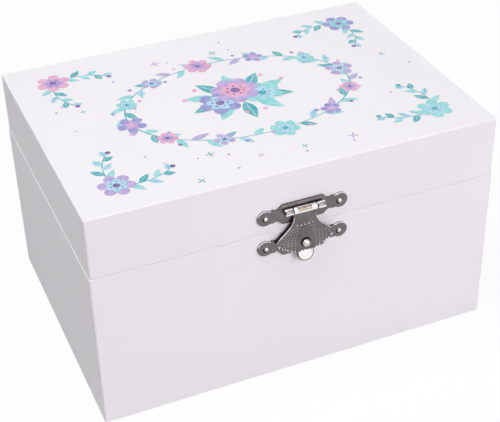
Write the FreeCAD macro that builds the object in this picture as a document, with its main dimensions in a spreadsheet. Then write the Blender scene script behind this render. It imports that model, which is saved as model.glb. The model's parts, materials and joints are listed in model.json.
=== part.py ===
"""Ballerina jewellery box with a wind-up musical movement, as a parametric document in millimetres.

Origin at the middle of the underside, +Z up, the clasp at the front on -Y.
The box is drawn closed, with the dancer folded down under the lid.
"""
import FreeCAD, Part
import math
import os
import re

import Sketcher
from FreeCAD import Placement, Rotation, Vector

# Driving sizes. Each one can be changed by itself.
SIZES = {
    # Wooden box
    "box_width": 152,
    "box_depth": 108,
    "body_height": 62.8,
    "lid_gap": 0.2,
    "lid_height": 23,
    "wall_thickness": 6,
    "floor_thickness": 4,
    "lid_top_thickness": 5,
    "corner_round": 0.8,
    "rim_round": 0.5,
    "lid_rim_round": 0.2,
    "lid_edge_round": 0.35,
    "lid_inset": 0.35,
    # Fits shared by several pieces
    "moving_clearance": 0.3,
    "running_clearance": 0.05,
    "soft_clearance": 0.2,
    # Inside of the box
    "deck_depth": 30,
    "deck_thickness": 3,
    "partition_thickness": 3,
    "lining_thickness": 0.8,
    "lining_drop": 0.6,
    "floor_pad_thickness": 2,
    "lid_pad_thickness": 2,
    "mirror_width": 90,
    "mirror_depth": 62,
    "mirror_thickness": 2,
    "mirror_bevel": 1,
    # Two hinges on the back
    "hinge_inset": 31,
    "hinge_width": 20,
    "hinge_middle_width": 7,
    "hinge_leaf_height": 11,
    "hinge_leaf_thickness": 0.9,
    "hinge_knuckle_radius": 1.6,
    "hinge_pin_radius": 0.8,
    "hinge_screw_spacing": 12,
    "hinge_screw_drop": 7,
    "hinge_screw_radius": 0.9,
    "hinge_screw_depth": 4.5,
    "hinge_head_radius": 1.7,
    "hinge_head_height": 0.8,
    # Clasp on the front
    "clasp_plate_thickness": 0.9,
    "clasp_axis_rise": 8,
    "clasp_knuckle_radius": 1.25,
    "clasp_knuckle_reach": 7.5,
    "clasp_pin_radius": 0.6,
    "clasp_ear_spacing": 27.6,
    "lid_plate_rise": 6.5,
    "lid_plate_half_width": 8.3,
    "lid_plate_half_height": 3.85,
    "lid_plate_neck_half_height": 2.2,
    "lid_plate_ear_radius": 3,
    "catch_plate_drop": 5.7,
    "catch_plate_half_width": 7.7,
    "catch_plate_half_height": 4.4,
    "catch_plate_neck_half_height": 2.5,
    "catch_plate_ear_radius": 3.1,
    "hasp_thickness": 0.8,
    "hasp_neck_half_width": 4.3,
    "hasp_neck_drop": 4.5,
    "hasp_waist_half_width": 7.1,
    "hasp_waist_drop": 9.5,
    "hasp_tip_half_width": 10.9,
    "hasp_tip_upper_drop": 12,
    "hasp_tip_lower_drop": 14.8,
    "hasp_skirt_half_width": 7.7,
    "hasp_skirt_drop": 16,
    "hasp_tab_radius": 3.2,
    "hasp_tab_drop": 19,
    "stud_drop": 5.3,
    "stud_ball_radius": 1.55,
    "stud_neck_radius": 0.9,
    "stud_reach": 3.3,
    "stud_hole_clearance": 0.4,
    "nail_radius": 0.6,
    "nail_depth": 4.5,
    "nail_head_radius": 1,
    "nail_head_height": 0.6,
    # Winding arbor and key
    "arbor_rise": 15,
    "arbor_radius": 1.5,
    "arbor_collar_radius": 2.4,
    "arbor_collar_length": 0.8,
    "bush_radius": 3,
    "bush_flange_radius": 4.5,
    "bush_flange_thickness": 0.8,
    "key_gap": 0.7,
    "key_stem_radius": 2.8,
    "key_stem_length": 9,
    "key_arbor_hold": 6,
    "key_wing_radius": 4.6,
    "key_wing_spacing": 11.6,
    "key_wing_hole_radius": 2,
    "key_wing_thickness": 1.6,
    # Movement plate and its screws
    "bedplate_thickness": 2,
    "bedplate_left": 17,
    "bedplate_right": 56,
    "bedplate_lift": 1,
    "bedplate_height": 29.5,
    "movement_screw_radius": 1.2,
    "movement_head_radius": 2.4,
    "movement_head_height": 1.2,
    "movement_screw_inset": 3.5,
    # Spring barrel with its crown teeth
    "gear_module": 0.5,
    "crown_teeth": 48,
    "pinion_teeth": 12,
    "crown_face_width": 1.6,
    "crown_rim": 0.4,
    "crown_flange_thickness": 1.4,
    "tooth_share": 0.36,
    "barrel_radius": 10,
    "barrel_shell": 0.8,
    "barrel_depth": 12,
    "barrel_gap": 1,
    "mainspring_strip": 0.4,
    "mainspring_turns": 7,
    # Pinned cylinder and comb
    "train_offset": 7.8,
    "cylinder_radius": 6.2,
    "cylinder_length": 20,
    "cylinder_arbor_radius": 1,
    "pin_height": 0.5,
    "pin_radius": 0.2,
    "bracket_thickness": 1.5,
    "bracket_gap": 1.2,
    "bracket_half_height": 4,
    "comb_teeth": 18,
    "comb_pitch": 1,
    "comb_slot": 0.3,
    "comb_thickness": 1,
    "comb_tooth_length": 4.4,
    "comb_spine": 3.5,
    "comb_gap": 0.4,
    "comb_screw_radius": 0.7,
    "comb_screw_depth": 3.5,
    "comb_head_radius": 1.2,
    "comb_head_height": 0.8,
    # Governor
    "fine_module": 0.4,
    "cylinder_wheel_teeth": 30,
    "governor_pinion_teeth": 10,
    "worm_wheel_teeth": 20,
    "fine_wheel_width": 1.2,
    "worm_wheel_width": 0.7,
    "governor_arbor_radius": 0.8,
    "worm_distance": 10,
    "worm_radius": 1.6,
    "worm_turns": 4,
    "fan_arbor_radius": 0.7,
    "fan_radius": 6,
    "fan_height": 8,
    "fan_thickness": 0.6,
    "fan_bottom": 4,
    "brake_radius": 5,
    "brake_thickness": 1,
    "frame_thickness": 1.5,
    # Stop rod
    "stop_rod_radius": 0.6,
    "stop_rod_distance": 8,
    "stop_foot_length": 4.5,
    "stop_foot_thickness": 1,
    "guide_radius": 2,
    "guide_flange_radius": 3,
    "guide_flange_thickness": 0.8,
    # Dancer's spindle and spring
    "deck_rise": 16,
    "spindle_radius": 1.5,
    "turntable_radius": 8,
    "turntable_thickness": 1.6,
    "spring_radius": 3.5,
    "spring_wire": 0.8,
    "spring_straight": 3.5,
    "spring_turn": 4.2,
    "peg_radius": 2.3,
    "peg_length": 2.8,
    "stand_radius": 5,
    "stand_thickness": 2,
    # Dancer
    "leg_length": 24,
    "torso_length": 14,
    "neck_length": 3,
    "head_radius": 3.3,
    "arm_spread": 7.6,
    "arm_rise": 15,
    "hip_half_width": 1.5,
    "shoulder_half_width": 3,
    "tutu_radius": 13.5,
    "tutu_thickness": 1.4,
    "tutu_waist_radius": 3.2,
    "tutu_rise": 2.6,
    "tutu_droop": 1.6,
    # Room left above the folded dancer
    "hand_headroom": 6.7527,
    "tutu_headroom": 3.5,
}

# Sizes and places that follow from the driving sizes.
PLACES = {
    "half_width": "box_width / 2",
    "half_depth": "box_depth / 2",
    "lid_width": "box_width - 2 * lid_inset",
    "inner_width": "box_width - 2 * wall_thickness",
    "inner_depth": "box_depth - 2 * wall_thickness",
    "inside_x": "inner_width / 2",
    "inside_y": "inner_depth / 2",
    "lid_under": "body_height + lid_gap",
    "box_height": "lid_under + lid_height",
    "lid_wall_height": "lid_height - lid_top_thickness",
    "lid_inside": "box_height - lid_top_thickness",
    "lid_pad_under": "lid_inside - lid_pad_thickness",
    "mirror_under": "lid_pad_under - mirror_thickness",
    "hinge_axis_y": "half_depth + moving_clearance + hinge_knuckle_radius",
    "hinge_axis_z": "body_height + lid_gap / 2",
    "hinge_spacing": "box_width - 2 * hinge_inset",
    "hinge_neck": "hinge_knuckle_radius + moving_clearance",
    "hinge_side_width": "(hinge_width - hinge_middle_width) / 2 - moving_clearance",
    "clasp_axis_y": "-half_depth - clasp_plate_thickness - moving_clearance - clasp_knuckle_radius",
    "clasp_axis_z": "lid_under + clasp_axis_rise",
    "lid_plate_z": "lid_under + lid_plate_rise",
    "catch_plate_z": "body_height - catch_plate_drop",
    "stud_z": "body_height - stud_drop",
    "plate_face_y": "-half_depth - clasp_plate_thickness",
    "hasp_back_y": "clasp_axis_y + clasp_knuckle_radius - moving_clearance",
    "arbor_z": "floor_thickness + arbor_rise",
    "bedplate_face": "inside_y - bedplate_thickness",
    "bedplate_under": "floor_thickness + bedplate_lift",
    "train_y": "bedplate_face - train_offset",
    "pinion_pitch_radius": "pinion_teeth * gear_module / 2",
    "crown_pitch_radius": "crown_teeth * gear_module / 2",
    "crown_plane": "train_y + pinion_pitch_radius",
    "crown_root": "crown_plane + gear_module",
    "crown_inner": "crown_pitch_radius - crown_face_width / 2",
    "crown_outer": "crown_pitch_radius + crown_face_width / 2",
    "flange_radius": "crown_outer + crown_rim",
    "barrel_back": "bedplate_face - barrel_gap",
    "barrel_front": "barrel_back - barrel_depth",
    "inner_bracket_x": "flange_radius + bracket_gap / 1.5",
    "cylinder_start": "inner_bracket_x + bracket_thickness + bracket_gap",
    "cylinder_end": "cylinder_start + cylinder_length",
    "outer_bracket_x": "cylinder_end + bracket_gap",
    "cylinder_wheel_x": "outer_bracket_x + bracket_thickness + bracket_gap",
    "cylinder_wheel_radius": "cylinder_wheel_teeth * fine_module / 2",
    "governor_pinion_radius": "governor_pinion_teeth * fine_module / 2",
    "governor_z": "arbor_z + cylinder_wheel_radius + governor_pinion_radius",
    "worm_wheel_radius": "worm_wheel_teeth * fine_module / 2",
    "worm_x": "outer_bracket_x + worm_distance",
    "worm_y": "train_y - worm_wheel_radius - worm_radius",
    "worm_pitch": "3.14159265 * fine_module",
    "fan_under": "bedplate_under + fan_bottom",
    "brake_top": "fan_under + fan_height + 3 * brake_thickness",
    "stop_rod_x": "worm_x + stop_rod_distance",
    "stop_foot_under": "brake_top + moving_clearance",
    "comb_tip_z": "arbor_z + cylinder_radius + pin_height + comb_gap",
    "comb_root_z": "comb_tip_z + comb_tooth_length",
    "comb_front_y": "train_y - comb_thickness / 2",
    "comb_width": "comb_teeth * comb_pitch",
    "comb_x": "cylinder_start + (cylinder_length - comb_width) / 2",
    "frame_top": "bedplate_under + bedplate_height - frame_thickness",
    "frame_side_x": "worm_x + governor_arbor_radius + 2.2",
    "deck_under": "arbor_z + deck_rise",
    "deck_top": "deck_under + deck_thickness",
    "deck_front": "inside_y - deck_depth",
    "cover_top": "deck_top + lining_thickness",
    "turntable_under": "cover_top + moving_clearance",
    "turntable_top": "turntable_under + turntable_thickness",
    "spring_base": "turntable_top + moving_clearance",
    "pivot_z": "spring_base + spring_straight + spring_turn",
    "stand_start": "spring_turn + spring_straight + moving_clearance",
    "feet": "stand_start + stand_thickness",
    "hips": "feet + leg_length",
    "shoulders": "hips + torso_length",
    "head": "shoulders + neck_length + 0.8 * head_radius",
    "hands": "shoulders + arm_rise",
    "tutu_hem": "hips + tutu_rise - tutu_droop",
    "tutu_reach": "sqrt(tutu_hem * tutu_hem + tutu_radius * tutu_radius)",
    "fold_room": "mirror_under - pivot_z",
    "hands_fold": "acos((fold_room - hand_headroom) / hands) / 1 deg",
    "tutu_lean": "acos((fold_room - tutu_headroom) / tutu_reach) / 1 deg",
    "tutu_fold": "tutu_lean + atan(tutu_radius / tutu_hem) / 1 deg",
    "fold_angle": "max(hands_fold; tutu_fold)",
    "bend_radius": "spring_turn / tan(fold_angle / 2)",
    "rim_lining_top": "body_height - lining_drop",
}

doc = FreeCAD.newDocument("ballerina_box")
pieces = []


def fill_sheets():
    """Write the driving numbers to one sheet and the formulas to another."""
    sizes = doc.addObject("Spreadsheet::Sheet", "Sizes")
    for row, (alias, number) in enumerate(SIZES.items(), 1):
        sizes.set(f"A{row}", alias)
        sizes.set(f"B{row}", str(number))
        sizes.setAlias(f"B{row}", alias)
    places = doc.addObject("Spreadsheet::Sheet", "Places")
    for row, (alias, formula) in enumerate(PLACES.items(), 1):
        places.set(f"A{row}", alias)
        places.set(f"B{row}", "=" + re.sub(r"[a-z_]+", own_sheet, formula))
        places.setAlias(f"B{row}", alias)
    doc.recompute()
    numbers = {alias: float(sizes.get(alias)) for alias in SIZES}
    numbers.update({alias: float(places.get(alias)) for alias in PLACES})
    return numbers


def own_sheet(word):
    """Inside the second sheet, a driving size is named with its sheet."""
    return "Sizes." + word[0] if word[0] in SIZES else word[0]


def any_sheet(word):
    """Elsewhere, every size is named with its sheet."""
    return "Places." + word[0] if word[0] in PLACES else own_sheet(word)


def bind(thing, prop, formula):
    """Tie a property to a formula on the sheets' names."""
    thing.setExpression(prop, re.sub(r"[a-z_]+", any_sheet, str(formula)))


def move(thing, point):
    """Tie an object's place to three formulas."""
    for axis, formula in zip("xyz", point):
        bind(thing, f"Placement.Base.{axis}", formula)
    return thing


def piece(thing, label):
    """Give a finished sub-part its own label and put it on the export list."""
    thing.Label = label
    pieces.append(thing)
    return thing


def block(name, lengths, corner):
    """A box with its lowest corner at a point."""
    thing = doc.addObject("Part::Box", name)
    for prop, formula in zip(("Length", "Width", "Height"), lengths):
        bind(thing, prop, formula)
    return move(thing, corner)


AXIS_TURN = {
    "X": Rotation(Vector(0, 1, 0), 90),
    "Y": Rotation(Vector(1, 0, 0), -90),
    "Z": Rotation(),
}


def rod(name, radius, length, start, axis="Z"):
    """A cylinder from a point along +X, +Y or +Z."""
    thing = doc.addObject("Part::Cylinder", name)
    thing.Placement = Placement(Vector(), AXIS_TURN[axis])
    bind(thing, "Radius", radius)
    bind(thing, "Height", length)
    return move(thing, start)


def cone(name, radii, length, start, axis="Z"):
    """A cone from a point along +X, +Y or +Z."""
    thing = doc.addObject("Part::Cone", name)
    thing.Placement = Placement(Vector(), AXIS_TURN[axis])
    bind(thing, "Radius1", radii[0])
    bind(thing, "Radius2", radii[1])
    bind(thing, "Height", length)
    return move(thing, start)


def ball(name, radius, centre):
    """A sphere about a point."""
    thing = doc.addObject("Part::Sphere", name)
    bind(thing, "Radius", radius)
    return move(thing, centre)


def fuse(name, *shapes):
    """One solid of several that overlap."""
    thing = doc.addObject("Part::MultiFuse", name)
    thing.Shapes = list(shapes)
    return thing


def cut(name, base, *tools):
    """A solid with others taken out of it."""
    tool = tools[0] if len(tools) == 1 else fuse(name + "_tools", *tools)
    thing = doc.addObject("Part::Cut", name)
    thing.Base = base
    thing.Tool = tool
    return thing


def group(name, *shapes):
    """Separate solids that share one node."""
    thing = doc.addObject("Part::Compound", name)
    thing.Links = list(shapes)
    return thing


def made(name, shape, point=(0, 0, 0), turn=None):
    """A shape that no primitive or sketch gives, as an object placed after its shape."""
    thing = doc.addObject("Part::Feature", name)
    thing.Shape = shape
    thing.Placement = Placement(Vector(), turn or Rotation())
    return move(thing, point)


def outline(name, plane, points, depth, place):
    """A body padded from a closed outline, each corner of it tied to two formulas."""
    body = doc.addObject("PartDesign::Body", name)
    sketch = body.newObject("Sketcher::SketchObject", name + "_sketch")
    support = [item for item in body.Origin.OriginFeatures if item.Role == plane]
    sketch.AttachmentSupport = [(support[0], "")]
    sketch.MapMode = "FlatFace"
    count = len(points)
    step = 2 * math.pi / count
    corners = [Vector(math.cos(step * i), math.sin(step * i), 0) for i in range(count)]
    for i in range(count):
        sketch.addGeometry(Part.LineSegment(corners[i], corners[(i + 1) % count]))
    for i in range(count):
        sketch.addConstraint(Sketcher.Constraint("Coincident", i, 2, (i + 1) % count, 1))
    for i, point in enumerate(points):
        across = sketch.addConstraint(Sketcher.Constraint("DistanceX", -1, 1, i, 1, corners[i].x))
        upward = sketch.addConstraint(Sketcher.Constraint("DistanceY", -1, 1, i, 1, corners[i].y))
        bind(sketch, f"Constraints[{across}]", point[0])
        bind(sketch, f"Constraints[{upward}]", point[1])
    pad = body.newObject("PartDesign::Pad", name + "_pad")
    pad.Profile = sketch
    bind(pad, "Length", depth)
    return move(body, place)


def mirrored(points):
    """A closed outline from its right half, listed from the top down."""
    left = [("-(" + str(x) + ")", y) for x, y in reversed(points) if x != "0"]
    return points + left


def rounded(name, base, choose):
    """A fillet on chosen edges; choose gives an edge its radius, or nothing."""
    doc.recompute()
    edges = []
    for index, edge in enumerate(base.Shape.Edges, 1):
        radius = choose(edge)
        if radius:
            edges.append((index, radius, radius))
    thing = doc.addObject("Part::Fillet", name)
    thing.Base = base
    thing.Edges = edges
    return thing


def is_upright(edge):
    return abs(edge.tangentAt(edge.FirstParameter).z) > 0.9


def is_level(edge, height):
    return not is_upright(edge) and abs(edge.CenterOfMass.z - height) < 1e-6


n = fill_sheets()


# Wooden box

def wood_block(name, width, height, under, rim, rim_radius):
    """A block as deep as the box, rounded at its corners and along one rim."""
    base = block(name, (width, "box_depth", height), (f"-{width} / 2", "-half_depth", under))

    def choose(edge):
        if is_upright(edge):
            return n["corner_round"]
        return n[rim_radius] if is_level(edge, n[rim]) else None

    return rounded(name + "_round", base, choose)


WALL_SIDES = {
    "front": ("box_width", ("0", "-half_depth"), 0),
    "right": ("box_depth", ("half_width", "0"), 90),
    "back": ("box_width", ("0", "half_depth"), 180),
    "left": ("box_depth", ("-half_width", "0"), 270),
}


def mitred_wall(name, side, base, height, under):
    """One wall of a rounded block, mitred at both ends."""
    length, middle, turn = WALL_SIDES[side]
    wedge = doc.addObject("Part::Wedge", name + "_wedge")
    wedge.Placement = Placement(Vector(), Rotation(Vector(0, 0, 1), turn))
    ends = {
        "Xmin": f"-{length} / 2",
        "Xmax": f"{length} / 2",
        "X2min": f"-{length} / 2 + wall_thickness",
        "X2max": f"{length} / 2 - wall_thickness",
        "Ymin": 0,
        "Ymax": "wall_thickness",
        "Zmin": 0,
        "Zmax": height,
        "Z2min": 0,
        "Z2max": height,
    }
    for prop, formula in ends.items():
        bind(wedge, prop, formula)
    move(wedge, (*middle, under))
    wall = doc.addObject("Part::Common", name)
    wall.Base = base
    wall.Tool = wedge
    return wall


def clasp_nail_holes(name, height):
    """Two nail holes in a front wall, behind a clasp plate's ears."""
    return [
        rod(
            f"{name}_{side}",
            "nail_radius",
            "nail_depth",
            (f"{sign}clasp_ear_spacing / 2", "-half_depth", height),
            "Y",
        )
        for side, sign in (("left", "-"), ("right", ""))
    ]


HINGE_SIDES = (("left", "-"), ("right", ""))


def hinge_screw_places(height):
    """Middles of the four screws of one pair of leaves."""
    return [
        (f"{side}hinge_spacing / 2 {end} hinge_screw_spacing / 2", height)
        for _, side in HINGE_SIDES
        for end in "-+"
    ]


def hinge_screw_holes(name, height):
    return [
        rod(
            f"{name}_{i}",
            "hinge_screw_radius",
            "hinge_screw_depth",
            (x, "half_depth - hinge_screw_depth", z),
            "Y",
        )
        for i, (x, z) in enumerate(hinge_screw_places(height))
    ]


MOVEMENT_SCREWS = (
    ("-bedplate_left + movement_screw_inset", "bedplate_under + movement_screw_inset"),
    ("bedplate_right - movement_screw_inset", "bedplate_under + bedplate_height - movement_screw_inset"),
    ("inner_bracket_x + 3 * movement_screw_inset", "bedplate_under + movement_screw_inset / 1.4"),
)


def movement_screw_holes(name, start, length):
    return [
        rod(f"{name}_{i}", "movement_screw_radius", length, (x, start, z), "Y")
        for i, (x, z) in enumerate(MOVEMENT_SCREWS)
    ]


case_block = wood_block("case_block", "box_width", "body_height", "0", "body_height", "rim_round")
case_walls = {
    side: mitred_wall(f"case_{side}", side, case_block, "body_height", "0")
    for side in WALL_SIDES
}
lid_block = wood_block(
    "lid_block", "lid_width", "lid_wall_height", "lid_under", "lid_under", "lid_rim_round"
)
lid_walls = {
    side: mitred_wall(f"lid_{side}", side, lid_block, "lid_wall_height", "lid_under")
    for side in WALL_SIDES
}
HINGE_CASE_SCREW_Z = "hinge_axis_z - hinge_screw_drop"
HINGE_LID_SCREW_Z = "hinge_axis_z + hinge_screw_drop"

front_holes = clasp_nail_holes("catch_hole", "catch_plate_z")
piece(cut("front_drilled", case_walls["front"], *front_holes), "front_wall")
back_holes = [
    rod("bush_hole", "bush_radius", "wall_thickness", ("0", "inside_y", "arbor_z"), "Y"),
    *movement_screw_holes("screw_hole", "inside_y", "wall_thickness"),
    *hinge_screw_holes("case_hinge_hole", HINGE_CASE_SCREW_Z),
]
piece(cut("back_drilled", case_walls["back"], *back_holes), "back_wall")
piece(case_walls["left"], "left_wall")
piece(case_walls["right"], "right_wall")
floor = block("floor", ("inner_width", "inner_depth", "floor_thickness"), ("-inside_x", "-inside_y", "0"))
piece(floor, "floor_panel")

lid_front = cut("lid_front_drilled", lid_walls["front"], *clasp_nail_holes("lid_hole", "lid_plate_z"))
piece(lid_front, "lid_front_wall")
lid_holes = hinge_screw_holes("lid_hinge_hole", HINGE_LID_SCREW_Z)
lid_back = cut("lid_back_drilled", lid_walls["back"], *lid_holes)
piece(lid_back, "lid_back_wall")
piece(lid_walls["left"], "lid_left_wall")
piece(lid_walls["right"], "lid_right_wall")
lid_top = block(
    "lid_top",
    ("lid_width", "box_depth", "lid_top_thickness"),
    ("-lid_width / 2", "-half_depth", "lid_inside"),
)


def lid_top_round(edge):
    if is_upright(edge):
        return n["corner_round"]
    return n["lid_edge_round"] if is_level(edge, n["box_height"]) else None


piece(rounded("lid_top_round", lid_top, lid_top_round), "lid_top_panel")

# Deck, partition, pads and linings

deck = block(
    "deck",
    ("inner_width", "deck_depth", "deck_thickness"),
    ("-inside_x", "deck_front", "deck_under"),
)
deck_holes = (
    rod("spindle_bush_hole", "bush_radius", "deck_thickness", ("0", "train_y", "deck_under")),
    rod("guide_hole", "guide_radius", "deck_thickness", ("stop_rod_x", "worm_y", "deck_under")),
)
piece(cut("deck_drilled", deck, *deck_holes), "deck_panel")
partition_height = "deck_under - floor_thickness"
piece(
    block(
        "partition",
        ("inner_width", "partition_thickness", partition_height),
        ("-inside_x", "deck_front", "floor_thickness"),
    ),
    "partition_panel",
)
piece(
    block(
        "well_pad",
        (
            "inner_width - 2 * lining_thickness - 2 * soft_clearance",
            "inner_depth - deck_depth - 2 * lining_thickness - 2 * soft_clearance",
            "floor_pad_thickness",
        ),
        (
            "-inside_x + lining_thickness + soft_clearance",
            "-inside_y + lining_thickness + soft_clearance",
            "floor_thickness",
        ),
    ),
    "floor_pad",
)
front_lining = block(
    "front_lining",
    ("inner_width", "lining_thickness", "rim_lining_top - floor_thickness"),
    ("-inside_x", "-inside_y", "floor_thickness"),
)
partition_lining = block(
    "partition_lining",
    ("inner_width - 2 * lining_thickness", "lining_thickness", "deck_top - floor_thickness"),
    ("-inside_x + lining_thickness", "deck_front - lining_thickness", "floor_thickness"),
)
back_lining = block(
    "back_lining",
    ("inner_width - 2 * lining_thickness", "lining_thickness", "rim_lining_top - cover_top"),
    ("-inside_x + lining_thickness", "inside_y - lining_thickness", "cover_top"),
)
SIDE_LINING = [
    ("-inside_y + lining_thickness", "floor_thickness"),
    ("deck_front", "floor_thickness"),
    ("deck_front", "deck_top"),
    ("inside_y", "deck_top"),
    ("inside_y", "rim_lining_top"),
    ("-inside_y + lining_thickness", "rim_lining_top"),
]
left_lining = outline("left_lining", "YZ_Plane", SIDE_LINING, "lining_thickness", ("-inside_x", "0", "0"))
right_lining = outline(
    "right_lining", "YZ_Plane", SIDE_LINING, "lining_thickness", ("inside_x - lining_thickness", "0", "0")
)
cover = block(
    "deck_cover_sheet",
    ("inner_width - 2 * lining_thickness", "deck_depth + lining_thickness", "lining_thickness"),
    ("-inside_x + lining_thickness", "deck_front - lining_thickness", "deck_top"),
)
cover_holes = (
    rod("cover_spindle_hole", "bush_radius", "lining_thickness", ("0", "train_y", "deck_top")),
    rod("cover_guide_hole", "guide_radius", "lining_thickness", ("stop_rod_x", "worm_y", "deck_top")),
)
deck_cover = cut("deck_cover", cover, *cover_holes)
piece(
    group("case_linings", front_lining, left_lining, right_lining, back_lining, partition_lining, deck_cover),
    "wall_lining",
)

piece(
    block(
        "lid_board",
        ("inner_width - 2 * soft_clearance", "inner_depth - 2 * soft_clearance", "lid_pad_thickness"),
        ("-inside_x + soft_clearance", "-inside_y + soft_clearance", "lid_pad_under"),
    ),
    "lid_pad",
)
glass = block(
    "glass",
    ("mirror_width", "mirror_depth", "mirror_thickness"),
    ("-mirror_width / 2", "-mirror_depth / 2", "mirror_under"),
)
doc.recompute()
bevel = doc.addObject("Part::Chamfer", "glass_bevel")
bevel.Base = glass
bevel.Edges = [
    (index, n["mirror_bevel"], n["mirror_bevel"])
    for index, edge in enumerate(glass.Shape.Edges, 1)
    if is_level(edge, n["mirror_under"])
]
piece(bevel, "mirror")
LID_STRIP_UNDER = "lid_under + lining_drop"
LID_STRIP_HEIGHT = "lid_pad_under - lid_under - lining_drop"
lid_strips = [
    block(
        f"lid_strip_{side}",
        ("inner_width", "lining_thickness", LID_STRIP_HEIGHT),
        ("-inside_x", y, LID_STRIP_UNDER),
    )
    for side, y in (("front", "-inside_y"), ("back", "inside_y - lining_thickness"))
]
lid_strips += [
    block(
        f"lid_strip_{side}",
        ("lining_thickness", "inner_depth - 2 * lining_thickness", LID_STRIP_HEIGHT),
        (x, "-inside_y + lining_thickness", LID_STRIP_UNDER),
    )
    for side, x in (("left", "-inside_x"), ("right", "inside_x - lining_thickness"))
]
piece(group("lid_strips", *lid_strips), "lid_lining")

# Hinges

def hinge(side, sign):
    """Both leaves and the pin of one hinge: outer knuckles on the case, the middle one on the lid."""
    middle = f"{sign}hinge_spacing / 2"
    left = f"{middle} - hinge_width / 2"
    right = f"{middle} + hinge_middle_width / 2 + moving_clearance"
    centre = f"{middle} - hinge_middle_width / 2"
    leaf = ("hinge_width", "hinge_leaf_thickness", "hinge_leaf_height - hinge_neck")
    bore = "hinge_pin_radius + running_clearance"
    axis = ("hinge_axis_y", "hinge_axis_z")

    def knuckle(name, start, width, neck_under):
        neck = block(
            f"{side}_{name}_neck",
            (width, "hinge_leaf_thickness", "hinge_neck"),
            (start, "half_depth", neck_under),
        )
        return neck, rod(f"{side}_{name}_knuckle", "hinge_knuckle_radius", width, (start, *axis), "X")

    pin_space = rod(f"{side}_pin_space", bore, "hinge_width", (left, *axis), "X")
    case_plate = block(f"{side}_case_plate", leaf, (left, "half_depth", "hinge_axis_z - hinge_leaf_height"))
    lid_plate = block(f"{side}_lid_plate", leaf, (left, "half_depth", "hinge_axis_z + hinge_neck"))
    case_knuckles = (
        *knuckle("case_left", left, "hinge_side_width", "hinge_axis_z - hinge_neck"),
        *knuckle("case_right", right, "hinge_side_width", "hinge_axis_z - hinge_neck"),
    )
    lid_knuckle = knuckle("lid", centre, "hinge_middle_width", "hinge_axis_z")
    for name, plate, knuckles, height in (
        ("case", case_plate, case_knuckles, HINGE_CASE_SCREW_Z),
        ("lid", lid_plate, lid_knuckle, HINGE_LID_SCREW_Z),
    ):
        holes = [
            rod(
                f"{side}_{name}_leaf_hole_{i}",
                "hinge_screw_radius",
                "hinge_leaf_thickness",
                (f"{middle} {end} hinge_screw_spacing / 2", "half_depth", height),
                "Y",
            )
            for i, end in enumerate("-+")
        ]
        solid = fuse(f"{side}_{name}_leaf_blank", plate, *knuckles)
        piece(cut(f"{side}_{name}_leaf", solid, pin_space, *holes), f"{side}_hinge_{name}_leaf")
    pin = rod(f"{side}_pin", "hinge_pin_radius", "hinge_width", (left, *axis), "X")
    piece(pin, f"{side}_hinge_pin")


for side, sign in HINGE_SIDES:
    hinge(side, sign)


def hinge_screws(name, height):
    """Four round-headed screws through one pair of leaves."""
    screws = []
    for i, (x, z) in enumerate(hinge_screw_places(height)):
        start = (x, "half_depth - hinge_screw_depth", z)
        length = "hinge_screw_depth + hinge_leaf_thickness"
        shank = rod(f"{name}_shank_{i}", "hinge_screw_radius", length, start, "Y")
        radii = ("hinge_head_radius", "0.6 * hinge_head_radius")
        top = (x, "half_depth + hinge_leaf_thickness", z)
        head = cone(f"{name}_head_{i}", radii, "hinge_head_height", top, "Y")
        screws.append(fuse(f"{name}_{i}", shank, head))
    return group(name, *screws)


piece(hinge_screws("case_screws", HINGE_CASE_SCREW_Z), "hinge_case_screws")
piece(hinge_screws("lid_screws", HINGE_LID_SCREW_Z), "hinge_lid_screws")

# Clasp

def eared_plate(name, prefix, height):
    """A flat plate with a round nailed ear at each end, lying on the front face."""
    half_width = f"{prefix}_half_width"
    middle = block(
        f"{name}_middle",
        (f"2 * {half_width}", "clasp_plate_thickness", f"2 * {prefix}_half_height"),
        (f"-{half_width}", "plate_face_y", f"{height} - {prefix}_half_height"),
    )
    bar = block(
        f"{name}_bar",
        ("clasp_ear_spacing", "clasp_plate_thickness", f"2 * {prefix}_neck_half_height"),
        ("-clasp_ear_spacing / 2", "plate_face_y", f"{height} - {prefix}_neck_half_height"),
    )
    ears = []
    holes = []
    for side, sign in HINGE_SIDES:
        start = (f"{sign}clasp_ear_spacing / 2", "plate_face_y", height)
        ears.append(rod(f"{name}_{side}_ear", f"{prefix}_ear_radius", "clasp_plate_thickness", start, "Y"))
        holes.append(rod(f"{name}_{side}_hole", "nail_radius", "clasp_plate_thickness", start, "Y"))
    return fuse(f"{name}_blank", middle, bar, *ears), holes


def clasp_nails(name, height):
    """Two round-headed nails through a plate's ears."""
    nails = []
    for side, sign in HINGE_SIDES:
        x = f"{sign}clasp_ear_spacing / 2"
        length = "clasp_plate_thickness + nail_depth"
        shank = rod(f"{name}_{side}_shank", "nail_radius", length, (x, "plate_face_y", height), "Y")
        radii = ("0.5 * nail_head_radius", "nail_head_radius")
        start = (x, "plate_face_y - nail_head_height", height)
        head = cone(f"{name}_{side}_head", radii, "nail_head_height", start, "Y")
        nails.append(fuse(f"{name}_{side}", shank, head))
    return group(name, *nails)


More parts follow.
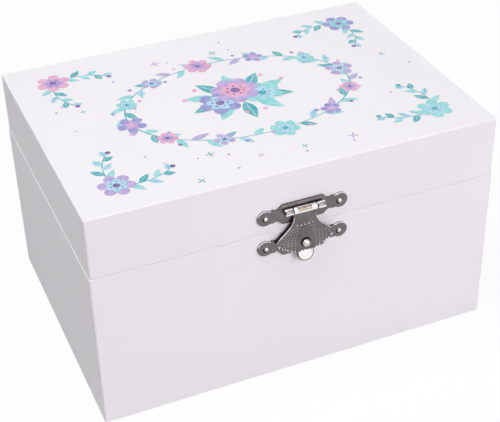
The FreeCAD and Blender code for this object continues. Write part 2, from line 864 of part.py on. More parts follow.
CLASP_AXIS = ("clasp_axis_y", "clasp_axis_z")
clasp_side_width = "clasp_knuckle_reach - hasp_neck_half_width - moving_clearance"
lid_plate, lid_plate_holes = eared_plate("lid_plate", "lid_plate", "lid_plate_z")
lid_plate_knuckles = []
for side, start in (
    ("left", "-clasp_knuckle_reach"),
    ("right", "hasp_neck_half_width + moving_clearance"),
):
    lid_plate_knuckles.append(
        rod(f"clasp_{side}_knuckle", "clasp_knuckle_radius", clasp_side_width, (start, *CLASP_AXIS), "X")
    )
    lid_plate_knuckles.append(
        block(
            f"clasp_{side}_bracket",
            (clasp_side_width, "plate_face_y - clasp_axis_y", "clasp_knuckle_radius"),
            (start, *CLASP_AXIS),
        )
    )
clasp_pin_space = rod(
    "clasp_pin_space",
    "clasp_pin_radius + running_clearance",
    "2 * clasp_knuckle_reach",
    ("-clasp_knuckle_reach", *CLASP_AXIS),
    "X",
)
lid_plate_solid = fuse("lid_plate_solid", lid_plate, *lid_plate_knuckles)
piece(cut("lid_plate_drilled", lid_plate_solid, clasp_pin_space, *lid_plate_holes), "clasp_lid_plate")
clasp_pin = rod(
    "clasp_hinge_pin",
    "clasp_pin_radius",
    "2 * clasp_knuckle_reach",
    ("-clasp_knuckle_reach", *CLASP_AXIS),
    "X",
)
piece(clasp_pin, "clasp_pin")
piece(clasp_nails("lid_plate_nails", "lid_plate_z"), "clasp_lid_nails")

catch_plate, catch_plate_holes = eared_plate("catch_plate", "catch_plate", "catch_plate_z")
piece(cut("catch_plate_drilled", catch_plate, *catch_plate_holes), "clasp_catch_plate")
piece(clasp_nails("catch_plate_nails", "catch_plate_z"), "clasp_catch_nails")
stud_end = ("0", "-half_depth - stud_reach", "stud_z")
stud_neck = rod("stud_neck", "stud_neck_radius", "stud_reach", stud_end, "Y")
stud_trim = block(
    "stud_trim",
    ("4 * stud_neck_radius", "clasp_plate_thickness", "4 * stud_neck_radius"),
    ("-2 * stud_neck_radius", "plate_face_y", "stud_z - 2 * stud_neck_radius"),
)
stud_ball = ball("stud_ball", "stud_ball_radius", ("0", "-half_depth - stud_reach", "stud_z"))
piece(cut("stud_on_plate", fuse("stud_solid", stud_neck, stud_ball), stud_trim), "clasp_stud")

HASP_HALF = [
    ("hasp_neck_half_width", "0"),
    ("hasp_neck_half_width", "-hasp_neck_drop"),
    ("hasp_waist_half_width", "-hasp_waist_drop"),
    ("hasp_tip_half_width", "-hasp_tip_upper_drop"),
    ("hasp_tip_half_width", "-hasp_tip_lower_drop"),
    ("hasp_skirt_half_width", "-hasp_skirt_drop"),
    ("hasp_tab_radius", "-hasp_tab_drop + hasp_tab_radius / 2"),
    ("hasp_tab_radius", "-hasp_tab_drop"),
]
hasp_plate = outline(
    "hasp_plate", "XZ_Plane", mirrored(HASP_HALF), "hasp_thickness", ("0", "hasp_back_y", "clasp_axis_z")
)
hasp_tab = rod(
    "hasp_tab",
    "hasp_tab_radius",
    "hasp_thickness",
    ("0", "hasp_back_y - hasp_thickness", "clasp_axis_z - hasp_tab_drop"),
    "Y",
)
hasp_knuckle = rod(
    "hasp_knuckle",
    "clasp_knuckle_radius",
    "2 * hasp_neck_half_width",
    ("-hasp_neck_half_width", *CLASP_AXIS),
    "X",
)
stud_space = rod(
    "stud_space",
    "stud_ball_radius + stud_hole_clearance",
    "3 * hasp_thickness",
    ("0", "hasp_back_y - 2 * hasp_thickness", "stud_z"),
    "Y",
)
hasp_solid = fuse("hasp_solid", hasp_plate, hasp_tab, hasp_knuckle)
piece(cut("hasp_drilled", hasp_solid, clasp_pin_space, stud_space), "clasp_hasp")

# Winding key, arbor and the bush in the back wall

ARBOR_BORE = "arbor_radius + running_clearance"
bush_sleeve = rod("bush_sleeve", "bush_radius", "wall_thickness", ("0", "inside_y", "arbor_z"), "Y")
bush_flange = rod(
    "bush_flange", "bush_flange_radius", "bush_flange_thickness", ("0", "half_depth", "arbor_z"), "Y"
)
bush_bore = rod(
    "bush_bore", ARBOR_BORE, "wall_thickness + bush_flange_thickness", ("0", "inside_y", "arbor_z"), "Y"
)
piece(cut("bush_bored", fuse("bush_blank", bush_sleeve, bush_flange), bush_bore), "key_bush")

ARBOR_START = "barrel_front - moving_clearance - arbor_collar_length"
KEY_START = "half_depth + bush_flange_thickness + key_gap"
arbor_shaft = rod(
    "arbor_shaft",
    "arbor_radius",
    f"{KEY_START} + key_arbor_hold - ({ARBOR_START})",
    ("0", ARBOR_START, "arbor_z"),
    "Y",
)
arbor_collar = rod(
    "arbor_collar",
    "arbor_collar_radius",
    "arbor_collar_length",
    ("0", ARBOR_START, "arbor_z"),
    "Y",
)
piece(fuse("arbor_solid", arbor_shaft, arbor_collar), "winding_arbor")

key_stem = rod("key_stem", "key_stem_radius", "key_stem_length", ("0", KEY_START, "arbor_z"), "Y")
key_web = block(
    "key_web",
    ("key_wing_thickness", "1.5 * key_wing_radius", "key_wing_spacing"),
    (
        "-key_wing_thickness / 2",
        f"{KEY_START} + key_stem_length - 0.75 * key_wing_radius",
        "arbor_z - key_wing_spacing / 2",
    ),
)
key_wings = []
key_wing_holes = []
for end in "-+":
    height = f"arbor_z {end} key_wing_spacing / 2"
    start = ("-key_wing_thickness / 2", f"{KEY_START} + key_stem_length", height)
    number = len(key_wings)
    key_wings.append(rod(f"key_wing_{number}", "key_wing_radius", "key_wing_thickness", start, "X"))
    hole = rod(f"key_wing_hole_{number}", "key_wing_hole_radius", "key_wing_thickness", start, "X")
    key_wing_holes.append(hole)
key_socket = rod("key_socket", "arbor_radius", "key_arbor_hold", ("0", KEY_START, "arbor_z"), "Y")
key_solid = fuse("key_solid", key_stem, key_web, *key_wings)
piece(cut("key_drilled", key_solid, key_socket, *key_wing_holes), "winding_key")

# Movement plate

bed = block(
    "bed",
    ("bedplate_left + bedplate_right", "bedplate_thickness", "bedplate_height"),
    ("-bedplate_left", "bedplate_face", "bedplate_under"),
)
bed_bore = rod("bed_bore", ARBOR_BORE, "bedplate_thickness", ("0", "bedplate_face", "arbor_z"), "Y")
bed_holes = movement_screw_holes("bed_hole", "bedplate_face", "bedplate_thickness")
piece(cut("bed_drilled", bed, bed_bore, *bed_holes), "movement_bedplate")
screws = []
for i, (x, z) in enumerate(MOVEMENT_SCREWS):
    length = "bedplate_thickness + wall_thickness"
    shank = rod(f"movement_shank_{i}", "movement_screw_radius", length, (x, "bedplate_face", z), "Y")
    radii = ("movement_head_radius", "0.7 * movement_head_radius")
    head = cone(f"movement_head_{i}", radii, "movement_head_height", (x, "half_depth", z), "Y")
    screws.append(fuse(f"movement_screw_{i}", shank, head))
piece(group("movement_screw_set", *screws), "movement_screws")

# Gears

def tooth_halves(module):
    """Half thickness of a straight-flanked tooth at its root, pitch line and tip."""
    middle = n["tooth_share"] * math.pi * module / 2
    slope = math.tan(math.radians(20))
    return middle + module * slope, middle, middle - 0.8 * module * slope


def gear(teeth, module, width, turn):
    """A spur gear along +Z from the origin, with a tooth centred on the angle turn."""
    pitch_radius = teeth * module / 2
    root, _, tip = tooth_halves(module)
    points = []
    for i in range(int(teeth)):
        middle = math.radians(turn) + 2 * math.pi * i / teeth
        for radius, half in (
            (pitch_radius - module, -root),
            (pitch_radius + 0.8 * module, -tip),
            (pitch_radius + 0.8 * module, tip),
            (pitch_radius - module, root),
        ):
            angle = middle + math.asin(half / radius)
            points.append(Vector(radius * math.cos(angle), radius * math.sin(angle), 0))
    face = Part.Face(Part.makePolygon(points + points[:1]))
    return face.extrude(Vector(0, 0, width))


def crown_teeth():
    """Crown teeth round the Y axis, pointing to -Y from the flange, one at +X and one at +Z."""
    root, _, tip = tooth_halves(n["gear_module"])
    reach = n["crown_root"] - n["crown_plane"] + 0.8 * n["gear_module"]
    sunk = 0.2
    corners = [(-root, sunk), (root, sunk), (tip, -reach), (-tip, -reach)]
    points = [Vector(n["crown_inner"], y, z) for z, y in corners]
    tooth = Part.Face(Part.makePolygon(points + points[:1])).extrude(Vector(n["crown_face_width"], 0, 0))
    count = int(n["crown_teeth"])
    teeth = []
    for i in range(count):
        copy = tooth.copy()
        copy.rotate(Vector(), Vector(0, 1, 0), 360 * i / count)
        teeth.append(copy)
    return Part.makeCompound(teeth)


# Spring barrel

drum = rod("drum", "barrel_radius", "barrel_depth", ("0", "barrel_front", "arbor_z"), "Y")
flange = rod("flange", "flange_radius", "crown_flange_thickness", ("0", "crown_root", "arbor_z"), "Y")
teeth = made("crown", crown_teeth(), ("0", "crown_root", "arbor_z"))
drum_space = rod(
    "drum_space",
    "barrel_radius - barrel_shell",
    "barrel_depth - barrel_shell",
    ("0", "barrel_front", "arbor_z"),
    "Y",
)
drum_bore = rod("drum_bore", ARBOR_BORE, "barrel_depth", ("0", "barrel_front", "arbor_z"), "Y")
piece(cut("barrel_hollow", fuse("barrel_solid", drum, flange, teeth), drum_space, drum_bore), "spring_barrel")
cap_disc = rod(
    "cap_disc", "barrel_radius - barrel_shell", "barrel_shell", ("0", "barrel_front", "arbor_z"), "Y"
)
cap_bore = rod("cap_bore", ARBOR_BORE, "barrel_shell", ("0", "barrel_front", "arbor_z"), "Y")
piece(cut("cap_bored", cap_disc, cap_bore), "barrel_cap")


def wound_strip():
    """A flat spiral strip in half-turn arcs, inside the drum and clear of the arbor."""
    inner = n["arbor_radius"] + 2 * n["moving_clearance"] + n["mainspring_strip"]
    outer = n["barrel_radius"] - n["barrel_shell"] - n["moving_clearance"] - n["mainspring_strip"]
    halves = int(2 * n["mainspring_turns"])
    growth = (outer - inner) / halves
    edges = {}
    for offset in (0, n["mainspring_strip"]):
        arcs = []
        for i in range(halves):
            sign = 1 if i % 2 == 0 else -1
            centre = sign * growth / 2 * (i % 2)
            radius = inner + offset + growth * i
            start = Vector(sign * radius, 0, 0)
            end = Vector(-sign * (radius + growth), 0, 0)
            top = Vector((start.x + end.x) / 2, sign * (radius + growth / 2), 0)
            arcs.append(Part.Arc(start, top, end).toShape())
        edges[offset] = arcs
    near = edges[0]
    far = edges[n["mainspring_strip"]]
    ends = [
        Part.makeLine(near[0].valueAt(near[0].FirstParameter), far[0].valueAt(far[0].FirstParameter)),
        Part.makeLine(near[-1].valueAt(near[-1].LastParameter), far[-1].valueAt(far[-1].LastParameter)),
    ]
    wire = Part.Wire(Part.__sortEdges__(near + far + ends))
    width = n["barrel_depth"] - 2 * n["barrel_shell"] - 2 * n["moving_clearance"]
    return Part.Face(wire).extrude(Vector(0, 0, width))


spring_start = ("0", "barrel_front + barrel_shell + moving_clearance", "arbor_z")
piece(made("wound_spring", wound_strip(), spring_start, AXIS_TURN["Y"]), "mainspring")

# Pinned cylinder

TRAIN = ("train_y", "arbor_z")
cylinder_shaft = rod(
    "cylinder_shaft",
    "cylinder_arbor_radius",
    "cylinder_wheel_x + fine_wheel_width + bracket_gap / 3 - crown_inner",
    ("crown_inner", *TRAIN),
    "X",
)
# After the turn to +X, a gear's angle 90 faces +Y and its angle 180 faces +Z.
half_pitch = 180 / n["pinion_teeth"]
cylinder_pinion = made(
    "cylinder_pinion",
    gear(n["pinion_teeth"], n["gear_module"], n["crown_face_width"], 90 + half_pitch),
    ("crown_inner", *TRAIN),
    AXIS_TURN["X"],
)
piece(fuse("cylinder_arbor_solid", cylinder_shaft, cylinder_pinion), "cylinder_arbor")


def pinned_drum():
    """The music cylinder along +Z with rows of short pins, one row to a comb tooth."""
    solid = Part.makeCylinder(n["cylinder_radius"], n["cylinder_length"])
    inset = (n["cylinder_length"] - n["comb_width"]) / 2
    pins = []
    for row in range(int(n["comb_teeth"])):
        height = inset + (row + 0.5) * n["comb_pitch"]
        for turn in (137.5 * row, 137.5 * row + 100, 137.5 * row + 215):
            angle = math.radians(turn)
            outward = Vector(math.cos(angle), math.sin(angle), 0)
            start = outward * (n["cylinder_radius"] - 0.5) + Vector(0, 0, height)
            pins.append(Part.makeCylinder(n["pin_radius"], n["pin_height"] + 0.5, start, outward))
    solid = solid.multiFuse(pins)
    return solid.cut(Part.makeCylinder(n["cylinder_arbor_radius"], n["cylinder_length"]))


piece(made("cylinder_drum", pinned_drum(), ("cylinder_start", *TRAIN), AXIS_TURN["X"]), "pinned_cylinder")
wheel_blank = made(
    "wheel_blank",
    gear(n["cylinder_wheel_teeth"], n["fine_module"], n["fine_wheel_width"], 180),
    ("cylinder_wheel_x", *TRAIN),
    AXIS_TURN["X"],
)
wheel_bore = rod("wheel_bore", "cylinder_arbor_radius", "fine_wheel_width", ("cylinder_wheel_x", *TRAIN), "X")
piece(cut("wheel_bored", wheel_blank, wheel_bore), "cylinder_wheel")

CYLINDER_BORE = "cylinder_arbor_radius + running_clearance"


def cylinder_bracket(name, x, top, bores):
    """An upright from the bedplate that carries arbors along X."""
    plate = block(
        f"{name}_plate",
        (
            "bracket_thickness",
            "bedplate_face - train_y + bracket_half_height",
            f"{top} - arbor_z + bracket_half_height",
        ),
        (x, "train_y - bracket_half_height", "arbor_z - bracket_half_height"),
    )
    holes = [
        rod(f"{name}_bore_{i}", radius, "bracket_thickness", (x, "train_y", height), "X")
        for i, (radius, height) in enumerate(bores)
    ]
    return cut(name, plate, *holes)


piece(
    cylinder_bracket(
        "inner_bracket",
        "inner_bracket_x",
        "arbor_z + bracket_half_height",
        [(CYLINDER_BORE, "arbor_z")],
    ),
    "cylinder_bracket_inner",
)
GOVERNOR_BORE = "governor_arbor_radius + running_clearance"
outer_bores = [(CYLINDER_BORE, "arbor_z"), (GOVERNOR_BORE, "governor_z")]
piece(
    cylinder_bracket(
        "outer_bracket",
        "outer_bracket_x",
        "governor_z + 2 * governor_arbor_radius",
        outer_bores,
    ),
    "cylinder_bracket_outer",
)

# Comb

comb_blank = block(
    "comb_blank",
    ("comb_width", "comb_thickness", "comb_tooth_length + comb_spine"),
    ("comb_x", "comb_front_y", "comb_tip_z"),
)
comb_slots = []
for i in range(1, int(n["comb_teeth"])):
    comb_slots.append(
        block(
            f"comb_slot_{i}",
            ("comb_slot", "comb_thickness", "comb_tooth_length"),
            (f"comb_x + {i} * comb_pitch - comb_slot / 2", "comb_front_y", "comb_tip_z"),
        )
    )
COMB_SCREW_Z = "comb_root_z + comb_spine / 2"
COMB_SCREW_X = [f"comb_x + {share} * comb_width" for share in (0.25, 0.75)]


def comb_screw_rods(name, start, length):
    return [
        rod(f"{name}_{i}", "comb_screw_radius", length, (x, start, COMB_SCREW_Z), "Y")
        for i, x in enumerate(COMB_SCREW_X)
    ]


COMB_BACK = "comb_front_y + comb_thickness"
comb_holes = comb_screw_rods("comb_hole", "comb_front_y", "comb_thickness")
piece(cut("comb_slotted", comb_blank, *comb_slots, *comb_holes), "comb")
seat = block(
    "comb_seat",
    ("comb_width", f"bedplate_face - ({COMB_BACK})", "comb_spine"),
    ("comb_x", COMB_BACK, "comb_root_z"),
)
seat_holes = comb_screw_rods("seat_hole", COMB_BACK, "comb_screw_depth")
piece(cut("comb_seat_drilled", seat, *seat_holes), "comb_base")
comb_shanks = comb_screw_rods("comb_shank", "comb_front_y", "comb_thickness + comb_screw_depth")
comb_screw_set = []
for i, shank in enumerate(comb_shanks):
    start = (COMB_SCREW_X[i], "comb_front_y - comb_head_height", COMB_SCREW_Z)
    head = rod(f"comb_head_{i}", "comb_head_radius", "comb_head_height", start, "Y")
    comb_screw_set.append(fuse(f"comb_screw_{i}", shank, head))
piece(group("comb_screw_group", *comb_screw_set), "comb_screws")

# Governor

GOVERNOR = ("train_y", "governor_z")
governor_shaft = rod(
    "governor_shaft",
    "governor_arbor_radius",
    "frame_side_x + frame_thickness - outer_bracket_x",
    ("outer_bracket_x", *GOVERNOR),
    "X",
)
governor_half_pitch = 180 / n["governor_pinion_teeth"]
governor_pinion = made(
    "governor_pinion",
    gear(n["governor_pinion_teeth"], n["fine_module"], n["fine_wheel_width"], governor_half_pitch),
    ("cylinder_wheel_x", *GOVERNOR),
    AXIS_TURN["X"],
)
worm_half_pitch = 180 / n["worm_wheel_teeth"]
worm_wheel = made(
    "worm_wheel",
    gear(n["worm_wheel_teeth"], n["fine_module"], n["worm_wheel_width"], 270 + worm_half_pitch),
    ("worm_x - worm_wheel_width / 2", *GOVERNOR),
    AXIS_TURN["X"],
)
piece(fuse("governor_solid", governor_shaft, governor_pinion, worm_wheel), "governor_wheel")


def worm_thread():
    """One worm thread about the Z axis, crossing the +Y side at height zero."""
    root, _, tip = tooth_halves(n["fine_module"])
    pitch = n["worm_pitch"]
    turns = n["worm_turns"]
    low = n["worm_radius"] - n["fine_module"]
    high = n["worm_radius"] + 0.8 * n["fine_module"]
    drop = -pitch * turns / 2
    sunk = low - 0.15
    corners = [(sunk, -root), (high, -tip), (high, tip), (sunk, root)]
    points = [Vector(radius, 0, height) for radius, height in corners]
    profile = Part.makePolygon(points + points[:1])
    helix = Part.makeHelix(pitch, pitch * turns, n["worm_radius"])
    thread = Part.Wire(helix).makePipeShell([profile], True, True)
    thread.rotate(Vector(), Vector(0, 0, 1), 90)
    thread.translate(Vector(0, 0, drop))
    core = Part.makeCylinder(low, pitch * (turns + 1), Vector(0, 0, drop - pitch / 2))
    return core.fuse(thread)


worm = made("worm", worm_thread(), ("worm_x", "worm_y", "governor_z"))
WORM = ("worm_x", "worm_y")
fan_shaft = rod(
    "fan_shaft",
    "fan_arbor_radius",
    "frame_top + frame_thickness - bedplate_under",
    (*WORM, "bedplate_under"),
)
fan_wing = block(
    "fan_wing",
    ("2 * fan_radius", "fan_thickness", "fan_height"),
    ("worm_x - fan_radius", "worm_y - fan_thickness / 2", "fan_under"),
)
brake = rod("brake_disc", "brake_radius", "brake_thickness", (*WORM, "brake_top - brake_thickness"))
piece(fuse("fan_solid", worm, fan_shaft, fan_wing, brake), "governor_fan")

frame_back = block(
    "frame_back",
    ("frame_side_x + frame_thickness - worm_x + 3", "frame_thickness", "bedplate_height"),
    ("worm_x - 3", "bedplate_face - frame_thickness", "bedplate_under"),
)
frame_arms = [
    block(
        f"frame_arm_{name}",
        ("frame_side_x + frame_thickness - worm_x + 3", "bedplate_face - worm_y + 3", "frame_thickness"),
        ("worm_x - 3", "worm_y - 3", height),
    )
    for name, height in (("low", "bedplate_under"), ("high", "frame_top"))
]
frame_side = block(
    "frame_side",
    ("frame_thickness", "bedplate_face - train_y + 3", "frame_top - governor_z + 3"),
    ("frame_side_x", "train_y - 3", "governor_z - 3"),
)
fan_bore = rod(
    "fan_bore", "fan_arbor_radius + running_clearance", "bedplate_height", (*WORM, "bedplate_under")
)
governor_bore = rod("governor_bore", GOVERNOR_BORE, "frame_thickness", ("frame_side_x", *GOVERNOR), "X")
frame_solid = fuse("frame_solid", frame_back, *frame_arms, frame_side)
piece(cut("frame_bored", frame_solid, fan_bore, governor_bore), "governor_frame")

# Stop rod

stop_shaft = rod(
    "stop_shaft",
    "stop_rod_radius",
    "lid_pad_under - moving_clearance - stop_foot_under",
    ("stop_rod_x", "worm_y", "stop_foot_under"),
)
stop_foot = block(
    "stop_foot",
    ("stop_foot_length", "3 * stop_rod_radius", "stop_foot_thickness"),
    ("stop_rod_x - stop_foot_length", "worm_y - 1.5 * stop_rod_radius", "stop_foot_under"),
)
piece(fuse("stop_rod_solid", stop_shaft, stop_foot), "stop_rod")
guide_sleeve = rod(
    "guide_sleeve",
    "guide_radius",
    "deck_thickness + lining_thickness",
    ("stop_rod_x", "worm_y", "deck_under"),
)
guide_flange = rod(
    "guide_flange", "guide_flange_radius", "guide_flange_thickness", ("stop_rod_x", "worm_y", "cover_top")
)
guide_bore = rod(
    "guide_bore",
    "stop_rod_radius + 2 * running_clearance",
    "deck_thickness + lining_thickness + guide_flange_thickness",
    ("stop_rod_x", "worm_y", "deck_under"),
)
piece(cut("guide_bored", fuse("guide_blank", guide_sleeve, guide_flange), guide_bore), "stop_rod_guide")

# Dancer's spindle

SPINDLE = ("0", "train_y")
SPINDLE_START = "arbor_z + crown_inner - moving_clearance"
spindle_shaft = rod(
    "spindle_shaft", "spindle_radius", f"turntable_under - ({SPINDLE_START})", (*SPINDLE, SPINDLE_START)
)
spindle_pinion = made(
    "spindle_pinion",
    gear(n["pinion_teeth"], n["gear_module"], n["crown_face_width"], 90 + half_pitch),
    (*SPINDLE, "arbor_z + crown_inner"),
)
turntable = rod("turntable", "turntable_radius", "turntable_thickness", (*SPINDLE, "turntable_under"))
turntable_peg = rod("turntable_peg", "peg_radius", "peg_length", (*SPINDLE, "turntable_top"))
piece(fuse("spindle_solid", spindle_shaft, spindle_pinion, turntable, turntable_peg), "dancer_spindle")
spindle_sleeve = rod(
    "spindle_sleeve",
    "bush_radius",
    "deck_thickness + lining_thickness",
    (*SPINDLE, "deck_under"),
)
spindle_flange = rod(
    "spindle_flange",
    "bush_flange_radius",
    "bush_flange_thickness",
    (*SPINDLE, "deck_under - bush_flange_thickness"),
)
spindle_bore = rod(
    "spindle_bore",
    "spindle_radius + running_clearance",
    "deck_thickness + lining_thickness + bush_flange_thickness",
    (*SPINDLE, "deck_under - bush_flange_thickness"),
)
spindle_blank = fuse("spindle_bush_blank", spindle_sleeve, spindle_flange)
piece(cut("spindle_bush_bored", spindle_blank, spindle_bore), "spindle_bush")

# Dancer's coil spring, drawn as the tube that its turns fill, folded forward

def bent_tube():
    """A tube up the Z axis from the origin, bent to -Y by the fold angle."""
    straight = n["spring_straight"]
    bend = n["bend_radius"]
    fold = n["fold_angle"]
    outer = n["spring_radius"]
    inner = outer - n["spring_wire"]
    ring = Part.Face([Part.Wire(Part.makeCircle(outer)), Part.Wire(Part.makeCircle(inner))])
    ring.validate()
    lower = ring.extrude(Vector(0, 0, straight))
    at_bend = ring.copy()
    at_bend.translate(Vector(0, 0, straight))
    hub = Vector(0, -bend, straight)
    curve = at_bend.revolve(hub, Vector(1, 0, 0), fold)
    after = at_bend.copy()
    after.rotate(hub, Vector(1, 0, 0), fold)
    along = Rotation(Vector(1, 0, 0), fold).multVec(Vector(0, 0, straight))
    upper = after.extrude(along)
    return lower.fuse([curve, upper]).removeSplitter()


piece(made("spring_tube", bent_tube(), (*SPINDLE, "spring_base")), "dancer_spring")

# Dancer, drawn upright about her axis from the bend of the spring, then folded forward

FOLDED = Rotation(Vector(1, 0, 0), n["fold_angle"])
PIVOT = (*SPINDLE, "pivot_z")


def limb(points, radii):
    """A tapered limb through its joints, with a ball at each joint."""
    solids = [Part.makeSphere(radius, point) for point, radius in zip(points, radii)]
    for i in range(len(points) - 1):
        along = points[i + 1] - points[i]
        if abs(radii[i] - radii[i + 1]) < 1e-6:
            solids.append(Part.makeCylinder(radii[i], along.Length, points[i], along))
        else:
            solids.append(Part.makeCone(radii[i], radii[i + 1], along.Length, points[i], along))
    return solids


def ellipse(height, across, deep):
    """A level ellipse, as a closed wire."""
    if across >= deep:
        curve = Part.Ellipse(Vector(0, 0, height), across, deep)
        return Part.Wire(curve.toShape())
    curve = Part.Ellipse(Vector(0, deep, height), Vector(across, 0, height), Vector(0, 0, height))
    return Part.Wire(curve.toShape())


def dancer():
    """A dancer on one pointed foot, arms rounded overhead, the other foot at the knee."""
    feet = n["feet"]
    hips = n["hips"]
    shoulders = n["shoulders"]
    head = n["head"]
    hip = n["hip_half_width"]
    knee = feet + 0.5 * n["leg_length"]
    hip_left = Vector(-hip, 0, hips)
    hip_right = Vector(hip, 0, hips)
    solids = limb(
        [
            hip_left,
            Vector(-0.5 * hip, -0.3, knee),
            Vector(-0.3 * hip, 0, feet + 3.5),
            Vector(0, 0, feet + 0.5),
        ],
        [2, 1.45, 0.9, 0.6],
    )
    bent_knee = Vector(hip + 5.2, -3.2, hips - 7.5)
    solids += limb(
        [hip_right, bent_knee, Vector(0.9, -1.6, knee - 1), Vector(-0.1, -1.5, knee - 3.4)],
        [2, 1.4, 0.85, 0.55],
    )
    torso = [
        ellipse(hips - 1.6, 2.6, 1.9),
        ellipse(hips + 1.5, 3.1, 2.4),
        ellipse(hips + 0.4 * n["torso_length"], 2.2, 1.8),
        ellipse(hips + 0.75 * n["torso_length"], 2.9, 2.2),
        ellipse(shoulders, 2.8, 1.6),
        ellipse(shoulders + 0.9, 1.3, 1.1),
    ]
    solids.append(Part.makeLoft(torso, True))
    solids += limb([Vector(0, 0, shoulders), Vector(0, -0.2, head)], [1.1, 1])
    solids.append(Part.makeSphere(n["head_radius"], Vector(0, -0.2, head)))
    solids.append(Part.makeSphere(0.5 * n["head_radius"], Vector(0, 1.6, head + 0.8 * n["head_radius"])))
    for sign in (-1, 1):
        shoulder = Vector(sign * n["shoulder_half_width"], 0, shoulders - 0.6)
        elbow = Vector(sign * n["arm_spread"], -1.5, shoulders + 0.4 * n["arm_rise"])
        wrist = Vector(sign * 0.45 * n["arm_spread"], -2, shoulders + 0.88 * n["arm_rise"])
        finger = Vector(sign * 0.9, -2, shoulders + n["arm_rise"])
        solids += limb([shoulder, elbow, wrist, finger], [1.1, 0.85, 0.65, 0.45])
    figure = solids[0].multiFuse(solids[1:])
    return figure.removeSplitter()


piece(made("dancer_solid", dancer(), PIVOT, FOLDED), "dancer_figure")

stand_disc = Part.makeCylinder(n["stand_radius"], n["stand_thickness"], Vector(0, 0, n["stand_start"]))
peg_start = Vector(0, 0, n["stand_start"] - n["peg_length"])
stand_peg = Part.makeCylinder(n["peg_radius"], n["peg_length"], peg_start)
toe_hole = Part.makeSphere(0.6, Vector(0, 0, n["feet"] + 0.5))
stand = stand_disc.fuse(stand_peg).cut(toe_hole)
piece(made("dancer_stand", stand, PIVOT, FOLDED), "dancer_peg")


def skirt():
    """A shallow stiff skirt round the hips, drooping to its hem."""
    inner = n["tutu_waist_radius"] + n["moving_clearance"]
    top = n["hips"] + n["tutu_rise"]
    hem = n["tutu_hem"]
    thick = n["tutu_thickness"]
    corners = [
        Vector(inner, 0, top - thick),
        Vector(n["tutu_radius"], 0, hem - thick / 2),
        Vector(n["tutu_radius"], 0, hem),
        Vector(inner, 0, top),
    ]
    face = Part.Face(Part.makePolygon(corners + corners[:1]))
    return face.revolve(Vector(), Vector(0, 0, 1), 360)


piece(made("dancer_skirt", skirt(), PIVOT, FOLDED), "dancer_tutu")

# Check and export

doc.recompute()
for item in doc.Objects:
    if "Invalid" in item.State or "Error" in item.State:
        raise RuntimeError(f"{item.Label} failed: {item.State}")
os.makedirs("parts", exist_ok=True)
for item in pieces:
    shape = item.Shape
    if shape.isNull() or not shape.isValid():
        raise RuntimeError(f"{item.Label} has no valid shape")
    shape.exportStep(f"parts/{item.Label}.step")
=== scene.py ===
"""Finishes and fine pieces of a musical jewellery box, laid out as an add-on and run as a script.

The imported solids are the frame. Each step paints the solids that stay as they are, or adds the
pieces that need more shape than a solid has. Shapes are drawn in millimetres in the part's frame.
"""
import json
import math
import random

import bmesh
import bpy
from bmesh.types import BMEdge, BMFace, BMVert
from bpy.props import FloatProperty, FloatVectorProperty, IntProperty, PointerProperty
from mathutils import Matrix, Vector


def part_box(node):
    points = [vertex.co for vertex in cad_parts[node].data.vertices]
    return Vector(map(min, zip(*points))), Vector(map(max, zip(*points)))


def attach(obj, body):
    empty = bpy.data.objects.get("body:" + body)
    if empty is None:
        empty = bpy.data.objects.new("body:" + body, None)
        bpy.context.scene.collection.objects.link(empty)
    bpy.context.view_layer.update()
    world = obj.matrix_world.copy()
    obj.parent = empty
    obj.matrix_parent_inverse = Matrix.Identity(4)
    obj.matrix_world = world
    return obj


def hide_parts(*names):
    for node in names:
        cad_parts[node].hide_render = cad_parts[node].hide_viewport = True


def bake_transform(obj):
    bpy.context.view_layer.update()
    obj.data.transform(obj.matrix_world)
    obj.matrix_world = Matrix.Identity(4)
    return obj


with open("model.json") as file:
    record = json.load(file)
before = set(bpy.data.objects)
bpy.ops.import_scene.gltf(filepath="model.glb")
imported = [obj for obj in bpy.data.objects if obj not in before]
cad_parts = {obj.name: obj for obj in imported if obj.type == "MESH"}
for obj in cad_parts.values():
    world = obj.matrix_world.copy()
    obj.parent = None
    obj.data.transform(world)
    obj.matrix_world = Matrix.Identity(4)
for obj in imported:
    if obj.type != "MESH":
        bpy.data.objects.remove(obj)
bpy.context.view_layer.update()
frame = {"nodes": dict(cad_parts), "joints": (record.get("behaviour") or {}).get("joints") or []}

bl_info = {
    "name": "Musical Jewellery Box",
    "version": (1, 0, 0),
    "blender": (4, 5, 0),
    "location": "View3D > Sidebar > Jewellery Box",
    "description": "Finishes and fine pieces for a packed musical jewellery box",
    "category": "Object",
}

MM = 0.001
MERGE = 0.0008
QUARTER = math.pi / 2
ORIGIN = (0, 0, 0)
SIDES = (-1, 1)
JOINTS = {joint["name"]: joint for joint in frame["joints"]}


def at(*place):
    """A move to a place."""
    return Matrix.Translation(place)


def turned(by, axis):
    """A turn about one of the axes."""
    return Matrix.Rotation(by, 4, axis)


def corners(node):
    """The lowest and highest corners of a node."""
    return [Vector(corner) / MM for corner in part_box(node)]


def centre_of(node):
    """The middle of a node's box."""
    low, high = corners(node)
    return (low + high) / 2


def pivot(joint):
    """The place of a joint."""
    return Vector(JOINTS[joint]["pos_m"]) / MM


